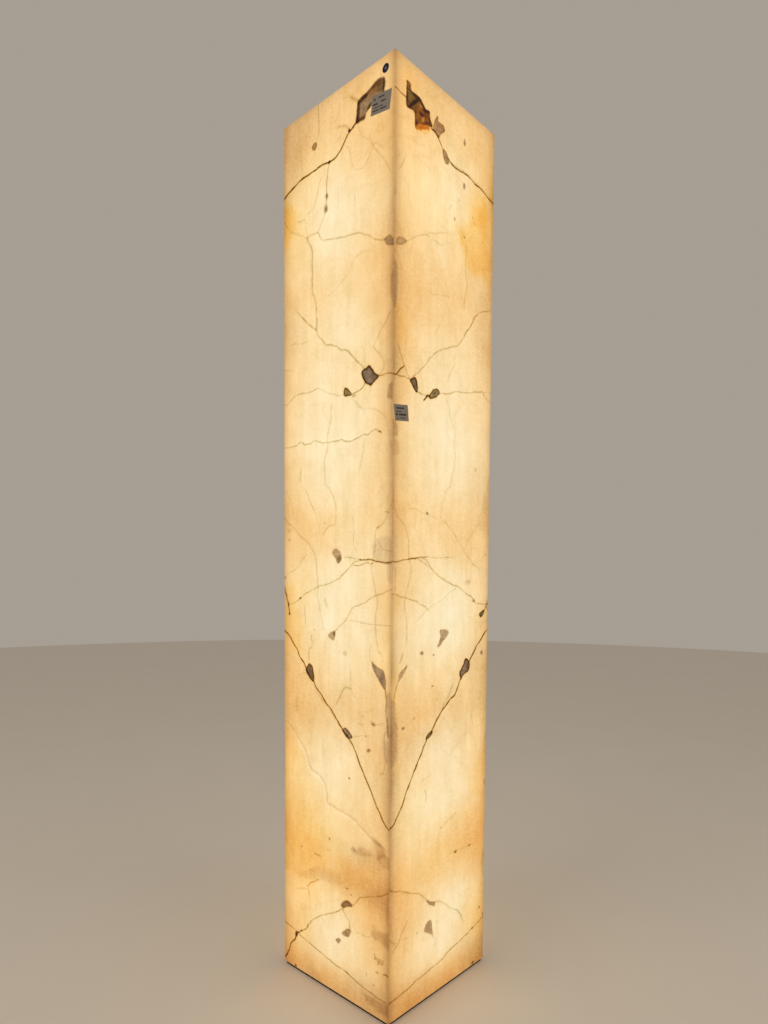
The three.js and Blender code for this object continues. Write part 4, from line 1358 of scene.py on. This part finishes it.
class Staining:
    """What a leaf's markings take from the light at any point."""

    LINE_STEP = 0.9  # millimetres between the points of a vein
    REACH = 10.0  # millimetres past which a vein leaves no mark
    CORE_FALL = 0.95  # how fast a vein's colour falls off, by half widths squared
    FRINGE_FALL = 0.14
    DARK_FRINGE = 0.16  # strength of a dark vein's rusty fringe
    PALE_FRINGE = 0.12
    MOTTLE = 0.25  # how far a patch's colour is uneven
    MOTTLE_WAVE = 7.0
    FINE_SPOT = 14.0  # millimetres under which a spot needs the finest cells
    WIDE_SPOT = 60.0  # millimetres over which it needs none
    SPOT_POINTS = 24  # points noted round a spot, on its edge and within it by turns
    FINE_VEIN = 3.2
    PLAIN_VEIN = 3.0  # strength of the veins that the finest cells go to
    LEAST_WARMTH = -0.05  # where a lamp is right behind the stone
    SPOT_REACH = 40.0  # millimetres of height from a spot within which it shows
    CRISP_REACH = 2.6  # millimetres from a crisp line within which the cells are a millimetre
    CELLS = ((5.5, 2.0), (12.0, 4.0), (26.0, 8.0))  # millimetres from a marking, and the cells within that
    CORNER_CELLS = ((20.0, 4.0), (36.0, 8.0))  # the same from the matched corner
    PLAIN_CELL = 16.0
    CORNER_TONE = (1.0, 1.06, 1.10)
    CORNER_REACH = 10.0  # millimetres over which the matched corner's extra shade fades
    CORNER_TOP = 150.0  # millimetres below the lid within which that shade is least

    def __init__(self, leaf: Leaf) -> None:
        """Draws the leaf's lines and outlines.

        Args:
            leaf: the leaf.
        """
        self.leaf = leaf
        self.patches = [Patch(inclusion, leaf.seed + 5 * i) for i, inclusion in enumerate(leaf.inclusions)]
        self.points: list[Point] = []
        self.halves: list[float] = []
        self.depths: list[float] = []
        self.owners: list[int] = []
        self.pigments: list[Pigment] = []
        self.crisp: list[Point] = []
        self.detail: list[Point] = []
        for vein in leaf.veins:
            self._draw(vein, rounded(vein.route, self.LINE_STEP, closed=False), closed=False)
        for patch in self.patches:
            rim = patch.inclusion
            if rim.rim > 0.0:
                dark = UMBER if rim.core is FAWN else SOOT
                line = Vein(dark, rim.rim_width, rim.rim * 1.25, (), wander=0.0)
                self._draw(line, patch.line, closed=True)
            elif not patch.zone:
                self.detail += patch.line
            for spot in rim.inside:
                self._ring(spot)
        for spot in leaf.spots:
            self._ring(spot)
        self.veins = self._tree(self.points)
        self.near_detail = self._tree(self.points + self.detail)
        self.near_crisp = self._tree(self.crisp or [(0.0, 0.0)])

    def _tree(self, points: Sequence[Point]) -> KDTree:
        """A search tree of points.

        Args:
            points: the points, in millimetres.

        Returns:
            The tree.
        """
        tree = KDTree(len(points))
        for i, (u, v) in enumerate(points):
            tree.insert((u, v, 0.0), i)
        tree.balance()
        return tree

    def _ring(self, spot: Spot) -> None:
        """Notes where a spot needs a fine mesh.

        Args:
            spot: the spot.
        """
        if max(spot.size) > self.WIDE_SPOT:
            return
        turn = Matrix.Rotation(math.radians(spot.turn), 2)
        for k in range(self.SPOT_POINTS):
            share = 1.0 if k % 2 else 0.45
            angle = math.tau * k / self.SPOT_POINTS
            out = turn @ Vector((math.cos(angle) * spot.size[0], math.sin(angle) * spot.size[1])) * share / 2
            point = (spot.place[0] + out.x, spot.place[1] + out.y)
            self.detail.append(point)
            if max(spot.size) < self.FINE_SPOT:
                self.crisp.append(point)

    def _draw(self, vein: Vein, line: Sequence[Point], closed: bool) -> None:
        """Adds a line's samples.

        Args:
            vein: what it is.
            line: its smooth route.
            closed: whether it comes back to its start.
        """
        owner = len(self.pigments)
        self.pigments.append(vein.pigment)
        seed = self.leaf.seed
        count = len(line)
        gaps = [math.dist(line[i], line[i - 1]) if i else 0.0 for i in range(count)]
        whole, gone = sum(gaps), 0.0
        for i, (u, v) in enumerate(line):
            gone += gaps[i]
            before = line[i - 1 if closed or i else 0]
            after = line[(i + 1) % count if closed else min(i + 1, count - 1)]
            along = Vector((after[0] - before[0], after[1] - before[1])).normalized()
            sway = swirl(u, v, 17.0, seed) * 1.5 + swirl(u, v, 5.5, seed + 0.4) * 0.6
            stray = vein.shift + vein.wander * sway
            point = (u - along.y * stray, v + along.x * stray)
            start = smoothstep((gone + 1.0) / (vein.fade[0] + 1.0))
            end = smoothstep((whole - gone + 1.0) / (vein.fade[1] + 1.0))
            beads = 1.0 + 0.55 * swirl(u, v, 21.0, seed + owner) + 0.35 * swirl(u, v, 6.0, seed + owner + 0.5)
            self.points.append(point)
            self.halves.append(vein.width / 2 * (1.0 + 0.5 * swirl(u, v, 15.0, seed + owner + 0.7)))
            self.depths.append(vein.strength * start * end * max(0.25, beads))
            self.owners.append(owner)
            if vein.width < self.FINE_VEIN and vein.strength * sum(vein.pigment.value) > self.PLAIN_VEIN:
                self.crisp.append(point)

    def _spot(self, spot: Spot, u: float, v: float) -> float:
        """How much of a spot shows at a point, from 0 to 1.

        Args:
            spot: the spot.
            u: millimetres across.
            v: millimetres up.

        Returns:
            The share.
        """
        across, up = u - spot.place[0], v - spot.place[1]
        size = max(spot.size)
        if abs(across) > size or abs(up) > size:
            return 0.0
        turn = math.radians(spot.turn)
        x = (across * math.cos(turn) + up * math.sin(turn)) / (spot.size[0] / 2)
        y = (up * math.cos(turn) - across * math.sin(turn)) / (spot.size[1] / 2)
        out = math.hypot(x, y) * (1.0 + 0.3 * swirl(u, v, size * 0.45 + 2.0, self.leaf.seed))
        return smoothstep((1.0 + 0.6 * spot.soft - out) / (1.6 * spot.soft))

    def _rise(self, u: float, v: float) -> float:
        """How far a marking at a place of the leaf rises with the leaf's bow."""
        return self.leaf.bow * (1.0 - 0.157 * u / WIDTH_MM) * 4.0 * v * (HEIGHT_MM - v) / HEIGHT_MM ** 2

    def _on_leaf(self, u: float, v: float) -> float:
        """The height on the leaf of what a point of the slab shows."""
        return v - self._rise(u, v - self._rise(u, v))

    def at(self, u: float, v: float) -> Vector:
        """What the stone takes from the light at a point.

        Args:
            u: millimetres across, from the matched corner.
            v: millimetres up.

        Returns:
            The depth of shade in red, green and blue.
        """
        v = self._on_leaf(u, v)
        return self._tone(u, v) + self._lines(u, v) + self._shapes(u, v)

    def _tone(self, u: float, v: float) -> Vector:
        """What the unmarked stone takes: the painted light and shade of the lamps behind it, its broad tones
        and the matched corner's painted shade.

        Args:
            u: millimetres across.
            v: millimetres up.

        Returns:
            The depth of shade.
        """
        backlight_shade = self.leaf.dusk
        total = Vector()
        for spot in self.leaf.washes:
            shown = spot.strength * self._spot(spot, u, v)
            if spot.pigment is WARM:
                backlight_shade += shown
            else:
                total += Vector(spot.pigment.value) * shown
        below_top = smoothstep((HEIGHT_MM - self.CORNER_TOP - v) / 200.0)
        corner = self.leaf.corner * math.exp(-max(u, 0.0) / self.CORNER_REACH) * (0.4 + 0.6 * below_top)
        # the painted light and shade of the lamps behind the stone, as warm colour
        warm = Vector(WARM.value) * max(self.LEAST_WARMTH, backlight_shade)
        return total + warm + Vector(self.CORNER_TONE) * corner

    def _lines(self, u: float, v: float) -> Vector:
        """What the veins and the patches' rims take, each with a fainter fringe.

        Args:
            u: millimetres across.
            v: millimetres up.

        Returns:
            The depth of shade.
        """
        strongest: dict[int, tuple[float, float]] = {}
        for _, i, gap in self.veins.find_range((u, v, 0.0), self.REACH):
            out = (gap / self.halves[i]) ** 2
            fall = 1.0 - gap / self.REACH
            core, fringe = strongest.get(self.owners[i], (0.0, 0.0))
            core = max(core, self.depths[i] * math.exp(-self.CORE_FALL * out) * fall)
            fringe = max(fringe, self.depths[i] * math.exp(-self.FRINGE_FALL * out) * fall)
            strongest[self.owners[i]] = (core, fringe)
        total = Vector()
        for owner, (core, fringe) in strongest.items():
            colour = self.pigments[owner]
            dark = colour in (SOOT, UMBER)
            total += Vector(colour.value) * core
            side, share = (RUST, self.DARK_FRINGE) if dark else (colour, self.PALE_FRINGE)
            total += Vector(side.value) * (fringe * share)
        return total

    def _shapes(self, u: float, v: float) -> Vector:
        """What the closed patches and the spots take.

        Args:
            u: millimetres across.
            v: millimetres up.

        Returns:
            The depth of shade.
        """
        total = Vector()
        for patch in self.patches:
            cover = patch.cover(u, v) if patch.near(u, v) else 0.0
            if cover > 0.0:
                mottle = 1.0 + self.MOTTLE * swirl(u, v, self.MOTTLE_WAVE, patch.seed)
                total += Vector(patch.inclusion.core.value) * (patch.inclusion.strength * cover * mottle)
                for spot in patch.inclusion.inside:
                    total += Vector(spot.pigment.value) * (spot.strength * cover * self._spot(spot, u, v))
        for spot in self.leaf.spots:
            if abs(v - spot.place[1]) < self.SPOT_REACH:
                total += Vector(spot.pigment.value) * (spot.strength * self._spot(spot, u, v))
        return total

    def fineness(self, u: float, v: float) -> float:
        """The size of mesh cell that a point's markings need.

        Args:
            u: millimetres across.
            v: millimetres up.

        Returns:
            The size in millimetres.
        """
        v = self._on_leaf(u, v)
        if self.near_crisp.find((u, v, 0.0))[2] < self.CRISP_REACH:
            return 1.0
        gap = self.near_detail.find((u, v, 0.0))[2]
        beside = [cell for reach, cell in self.CELLS if gap < reach]
        cornered = [cell for reach, cell in self.CORNER_CELLS if u < reach]
        return min([self.PLAIN_CELL, *beside, *cornered])


# ---- pieces


class Piece:
    """What every modelled piece does with its mesh."""

    def finish(
        self,
        bm: bmesh.types.BMesh,
        name: str,
        material: bpy.types.Material,
        slot: str,
        stands_for: Sequence[str],
    ) -> bpy.types.Object:
        """Makes an object of a mesh and gives it to the frame.

        Args:
            bm: the mesh, in its place.
            name: the piece's name.
            material: its material.
            slot: the record's material slot; not used.
            stands_for: the CAD nodes it replaces.

        Returns:
            The object.
        """
        mesh = bpy.data.meshes.new(name)
        bm.to_mesh(mesh)
        bm.free()
        mesh.materials.append(material)
        made = bpy.data.objects.new(name, mesh)
        bpy.context.scene.collection.objects.link(made)
        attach(made, "root")
        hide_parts(*stands_for)
        log.info("%s: %d faces", name, len(mesh.polygons))
        return made


@dataclass(frozen=True)
class Ring:
    """A slab's outline at one depth behind its outer face, in metres."""

    half: float  # half the width
    low: float
    high: float
    depth: float


@dataclass
class Slab(Piece):
    """A sawn slab with mitred edges, lying in its own plane: x across, y up, z out of the face."""

    name: str
    node: str
    leaf: Leaf
    place: Matrix  # from the slab's own plane to the column
    rings: tuple[Ring, ...]  # from the outer face inwards
    mirrored: bool  # whether the matched corner is on the left
    layer: float  # metres into the block, which moves the fine grain
    cells: tuple[int, int]
    bands: int  # strips that the face is laid out in on the UV map
    scale: float  # UV units to a metre
    back_scale: float
    lift: float = 0.0  # metres added to the height that the shader reads: it moves the fine grain and keeps the lid clear of the painted shade under the lid and above the base plate

    def build(self, material: bpy.types.Material) -> bpy.types.Object:
        """Builds the slab.

        Args:
            material: the lit onyx.

        Returns:
            Its object.
        """
        staining = Staining(self.leaf)
        bm = self._face(staining)
        for ring in self.rings[1:]:
            self._step_to(bm, ring)
        edges = [edge for edge in bm.edges if edge.is_boundary]
        bmesh.ops.contextual_create(bm, geom=edges)
        bmesh.ops.recalc_face_normals(bm, faces=bm.faces)
        self._unfold(bm)
        self._stain(bm, staining)
        bm.transform(self.place)
        return self.finish(bm, self.name, material, "onyx", [self.node])

    def _across(self, x: float) -> float:
        """Millimetres from the matched corner."""
        return WIDTH_MM / 2 + (x / MM if self.mirrored else -x / MM)

    def _face(self, staining: Staining) -> bmesh.types.BMesh:
        """The outer face, with small cells where the stone is marked.

        Args:
            staining: the markings.

        Returns:
            The face's mesh.
        """
        outer = self.rings[0]
        tall = outer.high - outer.low
        spread = Matrix.Translation((0.0, (outer.high + outer.low) / 2, 0.0)) @ Matrix.Diagonal(
            (2 * outer.half, tall, 1.0, 1.0)
        )
        bm = bmesh.new()
        bmesh.ops.create_grid(bm, x_segments=self.cells[0], y_segments=self.cells[1], size=0.5, matrix=spread)
        for cell in (8.0, 4.0, 2.0, 1.0):
            chosen = []
            for face in bm.faces:
                middle = face.calc_center_median()
                if staining.fineness(self._across(middle.x), middle.y / MM) <= cell:
                    chosen.append(face)
            edges = {edge for face in chosen for edge in face.edges if edge.calc_length() > cell * 1.3 * MM}
            if edges:
                bmesh.ops.subdivide_edges(bm, edges=list(edges), cuts=1, use_grid_fill=True)
        return bm

    def _step_to(self, bm: bmesh.types.BMesh, ring: Ring) -> None:
        """Extrudes the mesh's rim to the next ring.

        Args:
            bm: the mesh.
            ring: the ring.
        """
        rim = [edge for edge in bm.edges if edge.is_boundary]
        made = bmesh.ops.extrude_edge_only(bm, edges=rim)["geom"]
        corners = [item for item in made if isinstance(item, bmesh.types.BMVert)]
        half = max(vert.co.x for vert in corners)
        low, high = min(vert.co.y for vert in corners), max(vert.co.y for vert in corners)
        for vert in corners:
            share = (vert.co.y - low) / (high - low)
            up = ring.low + share * (ring.high - ring.low)
            vert.co = Vector((vert.co.x * ring.half / half, up, -ring.depth))

    def _stain(self, bm: bmesh.types.BMesh, staining: Staining) -> None:
        """Writes what the shader reads on each vertex.

        Args:
            bm: the mesh.
            staining: the markings.
        """
        stain = bm.verts.layers.float_vector.new("stain")
        grain = bm.verts.layers.float_vector.new("grain")
        for vert in bm.verts:
            u, v = self._across(vert.co.x), vert.co.y / MM
            vert[stain] = staining.at(u, v)
            vert[grain] = Vector((u * MM, vert.co.y + self.lift, self.layer - vert.co.z))

    def _unfold(self, bm: bmesh.types.BMesh) -> None:
        """Lays the slab out flat: the face in strips with its edges folded out, then the back.

        Args:
            bm: the mesh.
        """
        layer = bm.loops.layers.uv.new("OFBake")
        outer = self.rings[0]
        fold = self.rings[-1].depth
        strip = (outer.high - outer.low) / self.bands
        wide = 2 * (outer.half + fold)
        edge = 0.01  # UV units left free round each stretch
        for face in bm.faces:
            middle = face.calc_center_median()
            band = min(self.bands - 1, max(0, int((middle.y - outer.low) / strip)))
            sideways = abs(face.normal.x) > abs(face.normal.y)
            for loop in face.loops:
                x, y, depth = loop.vert.co.x, loop.vert.co.y, -loop.vert.co.z
                if face.normal.z < -0.9:
                    left = edge + self.bands * (wide * self.scale + edge)
                    up = edge + (y - outer.low) * self.back_scale
                    loop[layer].uv = (left + (x + outer.half) * self.back_scale, up)
                    continue
                if face.normal.z < 0.9 and sideways:
                    x = math.copysign(outer.half + depth, x)
                elif face.normal.z < 0.9:
                    y = outer.low - depth if middle.y < (outer.low + outer.high) / 2 else outer.high + depth
                left = edge + band * (wide * self.scale + edge)
                up = y - outer.low - band * strip
                loop[layer].uv = (left + (x + wide / 2) * self.scale, edge + (up + fold) * self.scale)


@dataclass
class Column:
    """The onyx: four mitred side slabs and a lid, cut from one block."""

    height: float = 2.0
    side: float = 0.35
    slab: float = 0.020  # thickness
    joint: float = 0.00045  # width of a glued joint
    arris: float = 0.0012
    stands_at: float = 0.0063  # just clear of the plate
    finish: LitOnyx = field(default_factory=LitOnyx)

    def ring(self, depth: float, arris: float, mitred_foot: bool) -> Ring:
        """The outline of a slab at a depth.

        Args:
            depth: metres behind the outer face.
            arris: how far the arris draws the outline in there.
            mitred_foot: whether the low edge is mitred too, as on the lid.

        Returns:
            The outline.
        """
        half = self.side / 2 - self.joint / 2 - max(depth, arris)
        if mitred_foot:
            return Ring(half, self.side / 2 - half, self.side / 2 + half, depth)
        high = self.height - self.side / 2 + half
        return Ring(half, self.stands_at + max(0.0, arris - depth), high, depth)

    def rings(self, mitred_foot: bool) -> tuple[Ring, ...]:
        """A slab's outlines, from the outer face inwards.

        Args:
            mitred_foot: whether the lower edge is mitred too, as the lid's is.

        Returns:
            The outlines.
        """
        return (
            self.ring(0.0, self.arris, mitred_foot),
            self.ring(self.arris / 2, 0.0, mitred_foot),
            self.ring(self.slab, 0.0, mitred_foot),
        )

    def build(self) -> None:
        """Builds the four sides and the lid."""
        material = self.finish.build()
        leaves = {
            "front": FIRST_LEAF,
            "right": SECOND_LEAF,
            "back": SECOND_LEAF.next_cut(seed=23, drift=7.0),
            "left": FIRST_LEAF.next_cut(seed=24, drift=7.0),
        }
        upright = Matrix.Translation((0.0, -self.side / 2, 0.0)) @ Matrix.Rotation(math.pi / 2, 4, "X")
        for k, (side, leaf) in enumerate(leaves.items()):
            Slab(
                name=f"onyx_{side}", node=f"slab_{side}", leaf=leaf,
                place=Matrix.Rotation(k * math.pi / 2, 4, "Z") @ upright,
                rings=self.rings(mitred_foot=False), mirrored=side in ("right", "left"),
                layer=self.slab * k, cells=(22, 126), bands=2, scale=0.904, back_scale=0.45,
            ).build(material)
        Slab(
            name="onyx_lid", node="lid_slab", leaf=LID_LEAF,
            place=Matrix.Translation((0.0, -self.side / 2, self.height)),
            rings=self.rings(mitred_foot=True), mirrored=True, layer=0.31, cells=(22, 22), bands=1,
            scale=1.84, back_scale=0.62, lift=1.0,
        ).build(material)


@dataclass
class BasePlate(Piece):
    """The steel plate that the column stands on."""

    side: float = 0.344
    thickness: float = 0.006
    corner: float = 0.003
    chamfer: float = 0.0007
    paint: Paint = Paint("dark_steel_paint", (0.012, 0.007, 0.004), (0.030, 0.018, 0.011), 0.75, 0.0)

    def build(self) -> bpy.types.Object:
        """Builds the plate.

        Returns:
            Its object.
        """
        bm = bmesh.new()
        size = Matrix.Diagonal((self.side, self.side, self.thickness, 1.0))
        bmesh.ops.create_cube(bm, size=1.0, matrix=Matrix.Translation((0.0, 0.0, self.thickness / 2)) @ size)
        upright = [edge for edge in bm.edges if self._climb(edge) > self.thickness / 2]
        self._ease(bm, upright, self.corner, 5)
        rims = [edge for edge in bm.edges if self._climb(edge) < 1e-6]
        self._ease(bm, rims, self.chamfer, 2)
        return self.finish(bm, "steel_base_plate", self.paint.build(), "dark_steel", ["base_plate"])

    def _climb(self, edge: bmesh.types.BMEdge) -> float:
        """How much higher one end of an edge is than the other."""
        return abs(edge.verts[0].co.z - edge.verts[1].co.z)

    def _ease(self, bm: bmesh.types.BMesh, edges: list[bmesh.types.BMEdge], by: float, steps: int) -> None:
        """Takes the sharpness off some edges.

        Args:
            bm: the mesh.
            edges: the edges.
            by: how much they are cut back.
            steps: into how many facets.
        """
        settings = {"profile": 0.5, "affect": "EDGES", "material": -1}
        bmesh.ops.bevel(bm, geom=edges, offset=by, segments=steps, **settings)


@dataclass(frozen=True)
class Bar:
    """A ruled bar on a label, in millimetres from its middle."""

    left: float
    right: float
    low: float
    high: float


@dataclass
class Label(Piece):
    """A paper label stuck on a slab: a thin sheet, its edges a little lifted."""

    name: str
    node: str
    paper: Paper
    slot: str
    size: Point  # millimetres
    across: float  # millimetres right of the face's middle
    up: float  # millimetres above the floor
    turn: float  # radians, clockwise as seen from outside
    quarter: int  # quarter turns round the column
    bars: tuple[Bar, ...] = ()
    face: float = 0.175  # metres from the column's middle to its face
    gap: float = 0.0001
    thickness: float = 0.00018
    lift: float = 0.0001  # how far the edges stand off
    cell: float = 0.5  # millimetres

    def build(self) -> bpy.types.Object:
        """Builds the label.

        Returns:
            Its object.
        """
        bm = self._sheet()
        self._lift(bm)
        ink = bm.verts.layers.float.new("ink")
        for vert in bm.verts:
            vert[ink] = self.printed(vert.co.x / MM, vert.co.y / MM)
        bmesh.ops.solidify(bm, geom=bm.faces, thickness=self.thickness)
        bmesh.ops.recalc_face_normals(bm, faces=bm.faces)
        stand = Matrix.Rotation(math.pi / 2, 4, "X") @ Matrix.Rotation(-self.turn, 4, "Z")
        place = Matrix.Translation((self.across * MM, -self.face - self.gap, self.up * MM)) @ stand
        bm.transform(Matrix.Rotation(self.quarter * math.pi / 2, 4, "Z") @ place)
        return self.finish(bm, self.name, self.paper.build(), self.slot, [self.node])

    def _sheet(self) -> bmesh.types.BMesh:
        """The flat sheet, in small cells.

        Returns:
            Its mesh.
        """
        bm = bmesh.new()
        size = Matrix.Diagonal((self.size[0] * MM, self.size[1] * MM, 1.0, 1.0))
        cells = [round(length / self.cell) for length in self.size]
        bmesh.ops.create_grid(bm, x_segments=cells[0], y_segments=cells[1], size=0.5, matrix=size)
        return bm

    def _lift(self, bm: bmesh.types.BMesh) -> None:
        """Lifts the sheet a hair at its edges, unevenly.

        Args:
            bm: the sheet.
        """
        for vert in bm.verts:
            out = max(abs(vert.co.x) / (self.size[0] * MM / 2), abs(vert.co.y) / (self.size[1] * MM / 2))
            wave = 0.5 + 0.5 * swirl(vert.co.x / MM, vert.co.y / MM, 14.0, self.quarter)
            vert.co.z = self.thickness / 2 + self.lift * min(1.0, out ** 6) * wave

    def printed(self, x: float, y: float) -> float:
        """How much ink is at a point, from 0 to 1.

        Args:
            x: millimetres right of the middle.
            y: millimetres above it.

        Returns:
            The ink.
        """
        inked = any(bar.left <= x <= bar.right and bar.low <= y <= bar.high for bar in self.bars)
        return 0.8 + 0.2 * swirl(x, y, 3.0, 2.0) if inked else 0.0


@dataclass
class DotLabel(Label):
    """A round sticker with a thin pale rim and a dark disc, paler in the middle."""

    disc: float = 0.97  # share of the radius
    core: float = 0.34
    core_ink: float = 0.72
    rings: int = 16

    def _sheet(self) -> bmesh.types.BMesh:
        """The round sheet, cut in rings.

        Returns:
            Its mesh.
        """
        bm = bmesh.new()
        radius = self.size[0] / 2 * MM
        bmesh.ops.create_circle(bm, cap_ends=True, segments=64, radius=radius)
        step = radius / (self.rings + 1)
        for _ in range(self.rings):
            inner = [face for face in bm.faces if len(face.verts) > 4]
            bmesh.ops.inset_region(bm, faces=inner, thickness=step, use_boundary=True, use_even_offset=True)
        return bm

    def printed(self, x: float, y: float) -> float:
        """How much ink is at a point of the disc."""
        out = math.hypot(x, y) / (self.size[0] / 2)
        return 0.0 if out > self.disc else self.core_ink if out < self.core else 1.0


@dataclass
class Labels:
    """The two grey paper labels and the round sticker."""

    grey: Paper = Paper("grey_paper", (0.34, 0.30, 0.26), (0.012, 0.009, 0.008))
    blue: Paper = Paper("blue_paper", (0.78, 0.70, 0.60), (0.003, 0.003, 0.050), 0.7)

    def build(self) -> None:
        """Builds the three labels."""
        Label(
            "paper_label_upper", "sheet_label", self.grey, "grey_paper",
            size=(54.0, 38.0), across=137.5, up=1913.0, turn=0.16, quarter=0,
            bars=(
                Bar(-22, -17, 8, 13), Bar(-10, 8, 10, 13.5), Bar(-23, -9, -1, 2.5), Bar(-2, 12, 1.5, 4.5),
                Bar(-21, 6, -7, -4.5), Bar(-23, -5, -13, -10.5), Bar(-2, 16, -12.5, -9.5),
            ),
        ).build()
        Label(
            "paper_label_lower", "tag_label", self.grey, "grey_paper",
            size=(43.0, 33.0), across=-148.5, up=1295.0, turn=-0.13, quarter=1,
            bars=(
                Bar(-15, 9, 7.5, 11), Bar(-17, 1, 1.5, 3.5), Bar(-18, -11, -6, -2), Bar(-8, 14, -6, -1.5),
                Bar(-16, -11, -13, -11), Bar(-5, 10, -12, -9.5),
            ),
        ).build()
        DotLabel(
            "round_sticker", "dot_label", self.blue, "blue_paper",
            size=(18.0, 18.0), across=149.5, up=1974.0, turn=0.0, quarter=0,
        ).build()


@dataclass
class Lamp:
    """The lamp inside: its CAD pieces keep their shapes and get their finishes."""

    metal: Paint = Paint(
        "brushed_aluminium", (0.48, 0.49, 0.50), (0.33, 0.34, 0.35), 0.38, 0.9,
        Grain(220.0, 5.0, 0.6, (1.0, 1.0, 0.03)),
    )
    diffuser: Diffuser = Diffuser()

    def dress(self) -> None:
        """Gives the post, the foot and the light strips their materials."""
        metal, cover = self.metal.build(), self.diffuser.build()
        for name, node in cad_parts.items():
            if name.startswith(("lamp_", "light_strip_")):
                node.data.materials.clear()
                node.data.materials.append(metal if name.startswith("lamp_") else cover)
                log.info("%s: dressed", name)


@dataclass
class Studio:
    """The floor, the light and the camera."""

    floor_radius: float = 9.0
    sky: Triple = (0.92, 0.82, 0.70)
    sky_strength: float = 0.42
    lamp_colour: Triple = (1.0, 0.95, 0.88)
    lamp_side: float = 2.4
    aim: Triple = (0.0, 0.0, 0.9)
    camera_at: Triple = (1.0982, -1.1857, 0.9514)
    azimuth: float = 43.03  # degrees that the view turns left of +Y
    pitch: float = -2.98
    roll: float = 0.38
    lens: float = 23.40  # millimetres, for the sensor below
    sensor: float = 36.0
    shift_up: float = 0.1002

    def build(self) -> None:
        """Builds all three."""
        self._floor()
        self._light()
        self._camera()

    def _floor(self) -> None:
        """A round floor."""
        bm = bmesh.new()
        bmesh.ops.create_circle(bm, cap_ends=True, segments=96, radius=self.floor_radius)
        mesh = bpy.data.meshes.new("studio_floor")
        bm.to_mesh(mesh)
        bm.free()
        mesh.materials.append(PaleFloor().build())
        floor = bpy.data.objects.new("studio_floor", mesh)
        bpy.context.scene.collection.objects.link(floor)

    def _light(self) -> None:
        """An even sky and two large soft lamps."""
        world = bpy.data.worlds.new("studio")
        bpy.context.scene.world = world
        world.use_nodes = True
        background = world.node_tree.nodes["Background"]
        background.inputs["Color"].default_value = (*self.sky, 1.0)
        background.inputs["Strength"].default_value = self.sky_strength
        self._area("soft_key", (-0.6, -3.7, 2.9), 28.0)
        self._area("soft_fill", (3.2, 0.6, 2.4), 18.0)
        bpy.context.scene.view_settings.view_transform = "Standard"

    def _area(self, name: str, at: Triple, power: float) -> None:
        """One area lamp aimed at the column.

        Args:
            name: its name.
            at: its place.
            power: its watts.
        """
        lamp = bpy.data.lights.new(name, "AREA")
        lamp.shape = "SQUARE"
        lamp.size = self.lamp_side
        lamp.energy = power
        lamp.color = self.lamp_colour
        made = bpy.data.objects.new(name, lamp)
        made.location = at
        made.rotation_euler = (Vector(self.aim) - Vector(at)).to_track_quat("-Z", "Y").to_euler()
        bpy.context.scene.collection.objects.link(made)

    def _camera(self) -> None:
        """The camera, aimed for a picture 768 by 1024; the picture's size is not set here."""
        camera = bpy.data.cameras.new("camera")
        camera.lens = self.lens
        camera.sensor_width = self.sensor
        camera.sensor_fit = "AUTO"
        camera.shift_y = self.shift_up
        camera.clip_start = 0.02
        made = bpy.data.objects.new("camera", camera)
        turn = Matrix.Rotation(math.radians(self.azimuth), 4, "Z")
        tilt = Matrix.Rotation(math.radians(90.0 + self.pitch), 4, "X")
        roll = Matrix.Rotation(math.radians(self.roll), 4, "Z")
        made.matrix_world = Matrix.Translation(self.camera_at) @ turn @ tilt @ roll
        bpy.context.scene.collection.objects.link(made)
        bpy.context.scene.camera = made


def main() -> None:
    """Builds the whole column and its studio."""
    logging.basicConfig(level=logging.INFO, format="%(name)s %(message)s")
    Column().build()
    BasePlate().build()
    Labels().build()
    Lamp().dress()
    Studio().build()


if __name__ == "__main__":
    main()
